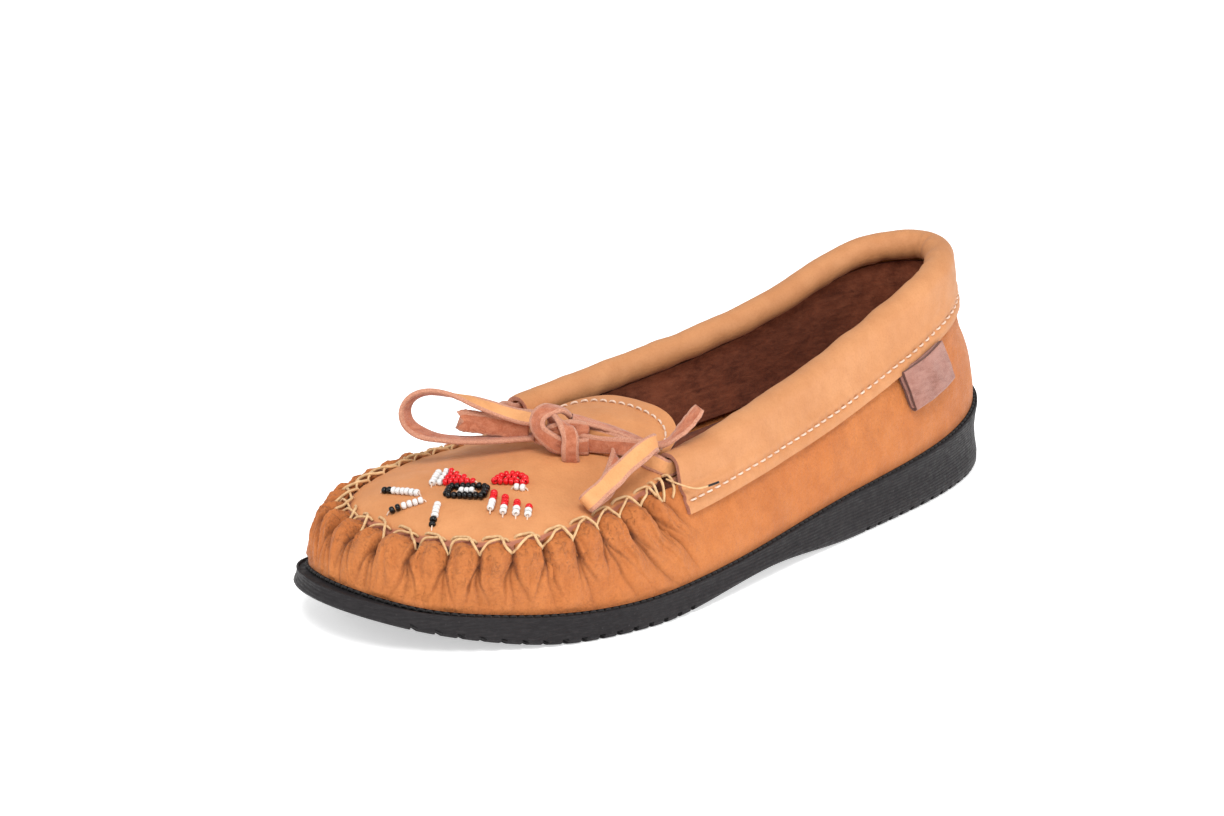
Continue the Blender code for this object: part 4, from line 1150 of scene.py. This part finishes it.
def plug_height(x, y):
    """Top of the plug near (x, y), smoothed over its nearest places."""
    gap = (PLUG_TABLE[..., 0] - x) ** 2 + (PLUG_TABLE[..., 1] - y) ** 2
    weight = np.exp(-gap / 1.2)
    return float((weight * PLUG_TABLE[..., 2]).sum() / weight.sum())


def make_plug():
    """The top panel and the tongue in one skin, whose panel rises into the tongue's crown."""
    rows, across = 130, 141
    w = (1 - np.cos(np.pi * np.linspace(0, 1, across))) / 2
    u = 0.004 + 0.93 * np.linspace(0, 1, rows) ** 1.1
    panel = plug_rows(u, w)
    sides = []
    for k, end in ((0, 1), (-1, -1)):
        start = panel[-1, k]
        corner = [(29.0, -32.0), (25.8, -28.6), (23.6, -24.4), (21.4, -20.6)]
        route = [start[:2]] + [(0.5 + end * x, y) for x, y in corner]
        sides.append(smooth_path(route, 46)[1:])
    share = w[None, :, None]
    flat = sides[0][:, None, :] * (1 - share) + sides[1][:, None, :] * share
    span = np.linspace(0, 1, 45)[:, None]
    rounded = 6.6 * (1 - np.abs(2 * w - 1) ** 3.4)[None, :]
    y = flat[..., 1] + rounded * span**1.6
    tongue = np.stack([flat[..., 0], y, crown(y, flat[..., 0])], axis=2)
    blend = tongue_share(panel[..., 1])[..., None]
    lifted = np.concatenate([panel[..., :2], crown(panel[..., 1], panel[..., 0])[..., None]], axis=2)
    panel = panel * (1 - blend) + lifted * blend
    grid = np.concatenate([panel, tongue], axis=0)
    x, y = grid[..., 0], grid[..., 1]
    grid[..., 2] += 0.28 * waves(x, y, 26, 61) + 0.06 * waves(x, y, 7, 62)
    run, inset = plug_edge_distance(grid, rows)
    index = np.interp(run, GATHERS, np.arange(len(GATHERS)))
    off = np.abs(index - np.round(index))
    seam = np.exp(-((inset / 2.4) ** 2))
    grid[..., 2] += seam * (0.45 * np.sin(np.pi * off) - 0.35)
    grid[..., 2] -= 0.8 * np.exp(-((inset / 0.9) ** 2))
    rim = np.clip(1.15 - inset / 1.5, 0, 1)
    obj = grid_object("beaded_plug_and_tongue", grid, [LOOKS["plug"], LOOKS["edge"]], {"rim": rim}, flip=True)
    thicken(obj, PLUG_LEATHER, edge=0.3, rim_slot=1)
    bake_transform(obj)
    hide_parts("plug", "tongue")


def plug_edge_distance(grid, rows):
    """For each plug point, how far along the seam it is and how far in from it."""
    u = np.linspace(-0.97, 0.97, 1500)
    edge = seam_inside(u)
    runs = seam_run(u)
    run = np.zeros(grid.shape[:2])
    inset = np.full(grid.shape[:2], 99.0)
    for r in range(rows):
        gap = np.linalg.norm(grid[r][:, None, :2] - edge[None, :, :2], axis=2)
        nearest = gap.argmin(axis=1)
        run[r] = runs[nearest]
        inset[r] = gap.min(axis=1)
    return run, inset


def make_tongue_stitching():
    route = [(25.2, -35.0), (24.4, -30.0), (22.0, -25.6), (18.6, -22.0), (13.8, -19.8),
             (7.5, -19.2), (0.5, -19.6),
             (-8.0, -21.4), (-14.0, -23.4), (-18.6, -27.0), (-21.5, -31.0)]
    flat = smooth_path(route, 220)
    lift = crown(flat[:, 1], flat[:, 0]) + 0.28 * waves(flat[:, 0], flat[:, 1], 26, 61) + 0.3
    path = np.column_stack([flat, lift])
    stitches = stitch_row(path, np.tile(UP, (len(path), 1)), 3.2, 0.7, radius=0.32)
    sew("tongue_stitches", stitches, "white", "tongue", "white_thread", "tongue_stitching")


def wrap_spot(run, drop, lift):
    """A place on the gathered wrap: run along the seam, drop below it, lift off the leather."""
    u = np.array([float(seam_u(run))])
    top_v = float(v_below_top(u, drop)[0])
    v = np.linspace(0, 1, 64)
    v = np.sort(np.append(v, top_v))
    grid, normal, _, _ = wrap_grid(u, v)
    k = int(np.searchsorted(v, top_v))
    return grid[0, k] + normal[0, k] * lift


def plug_spot(run, inset, lift):
    """A place on the plug: run along the seam, inset from its edge, lift off the leather."""
    u = np.array([float(seam_u(run))])
    place = seam_inside(u)[0] - outward(u)[0] * inset
    z = plug_height(place[0], place[1])
    if place[1] > -50:
        share = tongue_share(place[1])
        z = z * (1 - share) + float(crown(place[1], place[0])) * share
    return np.array([place[0], place[1], z + lift])


def make_pucker_thread():
    """Waxed thread: a strand up out of each gather, and one that arcs down into the next."""
    parts = []
    for here, there in zip(GATHERS[:-1], GATHERS[1:]):
        step = there - here
        wobble = RANDOM.uniform(-0.3, 0.3, 5)
        up = [wrap_spot(here - 0.02 * step, 2.5, -0.5), wrap_spot(here + 0.03 * step, 1.7, 0.5),
              wrap_spot(here + 0.22 * step, 0.5, 0.8), wrap_spot(here + 0.42 * step, 0.0, 1.0),
              plug_spot(here + 0.64 * step, -0.1, 1.0), plug_spot(here + 0.84 * step, 0.3 + wobble[0], 0.7),
              plug_spot(here + 0.95 * step, 0.7 + wobble[0], -0.3)]
        over = [plug_spot(here + 0.16 * step + wobble[2], 1.7 + wobble[3], -0.5),
                plug_spot(here + 0.23 * step + wobble[2], 1.5 + wobble[3], 0.45),
                plug_spot(here + 0.46 * step, 1.25 + 0.5 * wobble[3], 0.95),
                plug_spot(here + 0.68 * step, 0.5, 1.35), wrap_spot(there - 0.17 * step, 0.4, 1.15),
                wrap_spot(there - 0.05 * step, 1.5, 0.6), wrap_spot(there, 2.7, -0.5)]
        parts.append(tube_parts(smooth_path(up, 30), 0.4 + 0.05 * wobble[4], sides=8, squash=0.85))
        parts.append(tube_parts(smooth_path(over, 32), 0.45 - 0.05 * wobble[4], sides=8, squash=0.85))
    parts += seam_end_knots()
    points, faces = gather_parts(parts)
    slots = [0] * len(faces)
    slots[-len(parts[-1][1]) :] = [1] * len(parts[-1][1])
    obj = mesh_object("gathering_thread", points, faces, [LOOKS["waxed"], LOOKS["black"]], slots=slots)
    fit(obj, "shoe", "waxed_thread", "pucker_thread")


def seam_end_knots():
    """The lashings and the loose tail where the seam ends under the collar."""
    parts = []
    for run in (98.5, 101.5, 104.5):
        a = wrap_spot(run, 2.6, 0.2)
        b = wrap_spot(run + 0.6, 0.4, 1.5)
        c = plug_spot(run + 1.2, 0.6, 1.6)
        d = plug_spot(run + 1.0, 2.0, 0.2)
        parts.append(tube_parts(smooth_path([a, b, c, d], 20), 0.42, sides=8))
    start = np.array([34.4, -36.4, 36.6])
    shape = [(0, 0, 0), (3.2, 1.6, -0.9), (6.6, 5.4, -2.2), (7.3, 9.4, -2.2), (7.6, 13.0, -1.9)]
    tail = smooth_path([start + step for step in shape], 40)
    parts.append(tube_parts(tail[:31], 0.27, sides=8))
    parts.append(tube_parts(tail[30:], 0.34, sides=8))
    return parts


# ---------------------------------------------------------------- collar


def flap_length(u):
    return np.interp(u, [1.0, 1.3, 1.7, 2.3, 2.7, 3.0], [8.8, 9.5, 11.5, 11.5, 9.5, 8.8])


def flap_relief(u, below):
    """Relief of the collar's flap: the stitches draw it in along a line above its lower edge."""
    run = seam_like(u)
    row = below - (flap_length(u) - STITCH_HEIGHT)
    groove = -0.4 * np.exp(-((row / 0.8) ** 2))
    swell = 0.3 * np.exp(-(((row + 2.2) / 1.4) ** 2)) + 0.3 * np.exp(-(((row - 2.0) / 1.2) ** 2))
    pucker = 0.14 * np.sin(2 * np.pi * run / 3.4) * np.exp(-((row / 2.2) ** 2))
    front = smoothstep((np.abs(np.asarray(u) - 2) - 0.72) / 0.25)
    tuck = -0.75 * front * np.exp(-(((below - 1.2) / 1.5) ** 2))
    return groove + swell + pucker + tuck + 0.14 * waves(run, below, 17, 71) + 0.05 * waves(run, below, 5.5, 72)


def collar_grid(u, flap_points=34, arc_points=60):
    """Middle of the collar's outer face, from the flap's lower edge up and over the roll."""
    _, normal, rising, centre = collar_frame(u)
    drop = flap_length(u)
    below = np.linspace(1, 0, flap_points)[None, :] * drop[:, None]
    rows = np.stack([v_below_top(u, below[:, k]) for k in range(flap_points)], axis=1)
    out = GAP + COLLAR_LEATHER + flap_relief(u[:, None] + 0 * below, below)
    flap = np.array([wall_at_depth(a, v, -d[None, :, None])[0] for a, v, d in zip(u, rows, out)])
    turn = np.radians(np.linspace(0, 282, arc_points))
    sweep_run = seam_like(u)[:, None] + 0 * turn[None, :]
    bend = smoothstep((0.35 - np.abs(u - 2)) / 0.3)[:, None]
    girth = turn[None, :] * ROLL
    soft = 0.16 * waves(sweep_run, girth, 19, 73) + 0.05 * waves(sweep_run, girth, 6, 74)
    wrinkle = 0.22 * bend * waves(sweep_run, turn[None, :] * 1.2, 6.0, 75)
    wrinkle = wrinkle * np.clip(turn[None, :] - 1.2, 0, 1)
    radius = ROLL + soft + wrinkle
    arc = centre[:, None, :] + radius[..., None] * (
        normal[:, None, :] * np.cos(turn)[None, :, None] + rising[:, None, :] * np.sin(turn)[None, :, None]
    )
    return np.concatenate([flap[:, :-1], arc], axis=1)


def make_collar():
    u = np.linspace(1.0, 3.0, 620)
    grid = collar_grid(u)
    lengths = np.linalg.norm(np.diff(grid, axis=1), axis=2)
    keep = np.concatenate([[True], lengths.mean(axis=0) > 0.02])
    obj = grid_object("rolled_collar", grid[:, keep], [LOOKS["collar"], LOOKS["edge"]], flip=True)
    thicken(obj, COLLAR_LEATHER, edge=0.3, rim_slot=1)
    fit(obj, "shoe", "collar_leather", "collar")
    make_collar_stitching()


def make_collar_stitching():
    u = np.linspace(1.008, 2.992, 900)
    row = flap_length(u) - STITCH_HEIGHT
    v = v_below_top(u, row)
    normal = np.array([wall_normal(a, b)[0, 0] for a, b in zip(u, v)])
    path = np.array([wall(a, b)[0, 0] for a, b in zip(u, v)])
    path = path + normal * (GAP + COLLAR_LEATHER + flap_relief(u, row) + 0.22)[:, None]
    stitches = stitch_row(path, normal, 3.4, 0.62, radius=0.32)
    sew("collar_stitches", stitches, "white", "shoe", "white_thread", "collar_stitching")


def make_heel_seam():
    """A closed seam up the back, with a short row of waxed stitches."""
    top = float(v_below_top(np.array([2.0]), flap_length([2.0]) + 1.0)[0])
    v = np.linspace(0.06, top, 60)
    normal = wall_normal(2.0, v)[0]
    path = wall(2.0, v)[0] + normal * 0.15
    stitches = stitch_row(path, normal, 3.2, 0.7, radius=0.4)
    sew("heel_stitches", stitches, "waxed", "shoe", "waxed_thread", "heel_seam_stitching")


def tab_place():
    """Top middle of the heel tab, its width direction, its hanging direction and its outward one."""
    u = np.array([1.725])
    low = float(v_below_top(u, flap_length(u) + 0.6)[0])
    top = wall_at_depth(u, low, -2.6)[0, 0]
    out = outward(u)[0]
    along = wall(u + 0.03, low)[0, 0] - wall(u - 0.03, low)[0, 0]
    along /= np.linalg.norm(along)
    slope = wall(u, low - 0.15)[0, 0] - wall(u, low)[0, 0]
    down = slope / np.linalg.norm(slope) + out * 0.08
    down -= along * (down @ along)
    return top, along, down / np.linalg.norm(down), out


def make_heel_tab():
    """A strip of suede folded double, with its ends sewn in under the collar."""
    top, along, down, out = tab_place()
    width, drop, half_gap = 21.0, 11.5, 0.75
    turn = np.radians(np.linspace(0, 180, 15))
    down_leg = np.linspace(-1.2, drop - 1, 22)
    middle = [top + out * (half_gap + 0.12 * np.sin(d / 3)) + down * d for d in down_leg]
    middle += [top + down * (drop - 1 + np.sin(a)) + out * half_gap * np.cos(a) for a in turn[1:-1]]
    middle += [top - out * half_gap + down * d for d in down_leg[::-1]]
    path = np.array(middle)
    face = np.cross(np.gradient(path, axis=0), along)
    face /= np.linalg.norm(face, axis=1)[:, None]
    across = np.linspace(-0.5, 0.5, 46)
    grid = path[:, None, :] + along * (across * width)[None, :, None]
    curve = -1.1 * (2 * across) ** 2
    grid = grid + out * curve[None, :, None]
    soft = 0.12 * waves(across[None, :] * width, np.arange(len(path))[:, None] * 0.6, 8, 81)
    grid = grid + face[:, None, :] * (soft + 0.55)[..., None]
    obj = grid_object("suede_heel_tab", grid, [LOOKS["tab"], LOOKS["tab_edge_and_shade"]], flip=True)
    # The rims take the dark edge material: raw edge, partly painted shade for the gap inside the fold.
    thicken(obj, TAB_LEATHER, edge=0.2, rim_slot=1)
    fit(obj, "heel_tab", "tab_suede", "heel_tab")


# ---------------------------------------------------------------- beads


def bead_parts(place, ahead, over, radius):
    """One seed bead: a fat ring with its hole along the thread."""
    ahead = ahead / np.linalg.norm(ahead)
    side = np.cross(over, ahead)
    side /= np.linalg.norm(side)
    over = np.cross(ahead, side)
    half = BEAD_PITCH * 0.45
    profile = [(-0.5, 0.26), (-0.95, 0.4), (-0.98, 0.62), (-0.8, 0.82), (-0.45, 0.96), (0, 1.0), (0.45, 0.96),
               (0.8, 0.82), (0.98, 0.62), (0.95, 0.4), (0.5, 0.26)]
    turn = 2 * np.pi * np.arange(BEAD_SIDES) / BEAD_SIDES
    rings = []
    for along, out in profile:
        circle = np.outer(np.cos(turn), side) + np.outer(np.sin(turn), over)
        rings.append(place + ahead * along * half + radius * out * circle)
    points = np.vstack(rings)
    faces = [list(f) for f in grid_faces(len(rings) + 1, BEAD_SIDES, wrap=True) % len(points)]
    return points, faces


def bead_row(node, corners, pattern, closed=False):
    """A row of beads between (x, y) corners. pattern gives their colours, from its start and end."""
    corners = np.array(list(corners) + (list(corners[:1]) if closed else []), float)
    run = running(corners)
    count = max(2, int(round(run[-1] / BEAD_PITCH)))
    s = (np.arange(count) + 0.5) * run[-1] / count
    looks = ["bead_white", "bead_black", "bead_red", "white"]
    parts, slots = [], []
    spots = []
    for k, at in enumerate(s):
        flat = np.array([np.interp(at, run, corners[:, a]) for a in (0, 1)])
        front = np.array([np.interp(at + 0.4, run, corners[:, a]) for a in (0, 1)])
        rear = np.array([np.interp(at - 0.4, run, corners[:, a]) for a in (0, 1)])
        place = np.array([*flat, plug_height(*flat) + BEAD_RADIUS * 0.92])
        ahead = np.array([*(front - rear), plug_height(*front) - plug_height(*rear)])
        ahead += RANDOM.normal(0, 0.035, 3)
        letter = pattern[min(k, len(pattern) - 1)] if k < count - 1 or len(pattern) == 1 else pattern[-1]
        spot = place + RANDOM.normal(0, 0.04, 3)
        bead = bead_parts(spot, ahead, UP, BEAD_RADIUS * RANDOM.uniform(0.95, 1.04))
        parts.append(bead)
        slots += ["wkr".index(letter)] * len(bead[1])
        spots.append(place)
    first, last = spots[0], spots[-1]
    if not closed:
        for end, inner in ((first, spots[1]), (last, spots[-2])):
            away = (end - inner) / np.linalg.norm(end - inner)
            tail = [end, end + away * 1.0 - UP * 0.2, end + away * 1.5 - UP * 1.0]
            part = tube_parts(smooth_path(tail, 8), 0.22, sides=6)
            parts.append(part)
            slots += [3] * len(part[1])
    points, faces = gather_parts(parts)
    obj = mesh_object("seed_" + node, points, faces, [LOOKS[n] for n in looks], slots=slots)
    fit(obj, "shoe", {"w": "bead_white", "k": "bead_black", "r": "bead_red"}[pattern[-1]], node)


def on_motif(*pairs):
    along, over = np.array([0.81, 0.59]), np.array([-0.59, 0.81])
    return [tuple(MOTIF + along * a + over * b) for a, b in pairs]


def make_beads():
    """A geometric motif: bars and a box in front, a wedge, stripes and a dome behind."""
    bead_row("bead_bar_1", [(-15.9, -96.4), (-3.9, -93.2)], "kkw")
    bead_row("bead_bar_2", [(-5.2, -102.6), (0.2, -94.8)], "kkw")
    bead_row("bead_bar_3", [(10.8, -100.6), (4.9, -93.6)], "kkw")
    box = on_motif((-5.2, -2.4), (5.2, -2.4), (5.2, 2.4), (-5.2, 2.4))
    bead_row("bead_box", box, "k", closed=True)
    bead_row("bead_box_centre", on_motif((-2.2, 0), (2.2, 0)), "w")
    for k, reach in enumerate((1.2, -1.8, -4.4, -6.6)):
        over = 5.2 + 2.3 * k
        bead_row(f"bead_wedge_{k + 1}", on_motif((-9.6, over), (reach, over)), "wr")
    bead_row("bead_wedge_end", on_motif((-11.0, 4.6), (-11.0, 12.4)), "w")
    stripes = [[(12.8, -80.2), (18.6, -86.6)], [(16.8, -79.6), (22.4, -85.4)],
               [(20.6, -78.7), (25.2, -83.2)], [(24.3, -77.6), (27.7, -81.2)]]
    for k, line in enumerate(stripes):
        bead_row(f"bead_stripe_{k + 1}", line, ("rrrw", "rrrw", "rrw", "rw")[k])
    turn = np.radians(np.linspace(0, 180, 7))
    dome = on_motif(*[(10.8 + 4.3 * np.cos(a), 5.8 + 4.3 * np.sin(a)) for a in turn])
    bead_row("bead_dome", dome, "r", closed=True)
    bead_row("bead_dome_core", on_motif((9.3, 7.95), (12.3, 7.95)), "r")
    bead_row("bead_dome_bar", on_motif((12.4, 3.3), (15.8, 3.3)), "w")


make_camera()
make_left_loop()
make_right_loop()
make_right_end()
make_lace_run()
make_knot()
make_studio()
make_outsole()
make_sole_stitching()
make_inside()
make_wrap()
make_plug()
make_tongue_stitching()
make_pucker_thread()
make_collar()
make_heel_seam()
make_heel_tab()
make_beads()
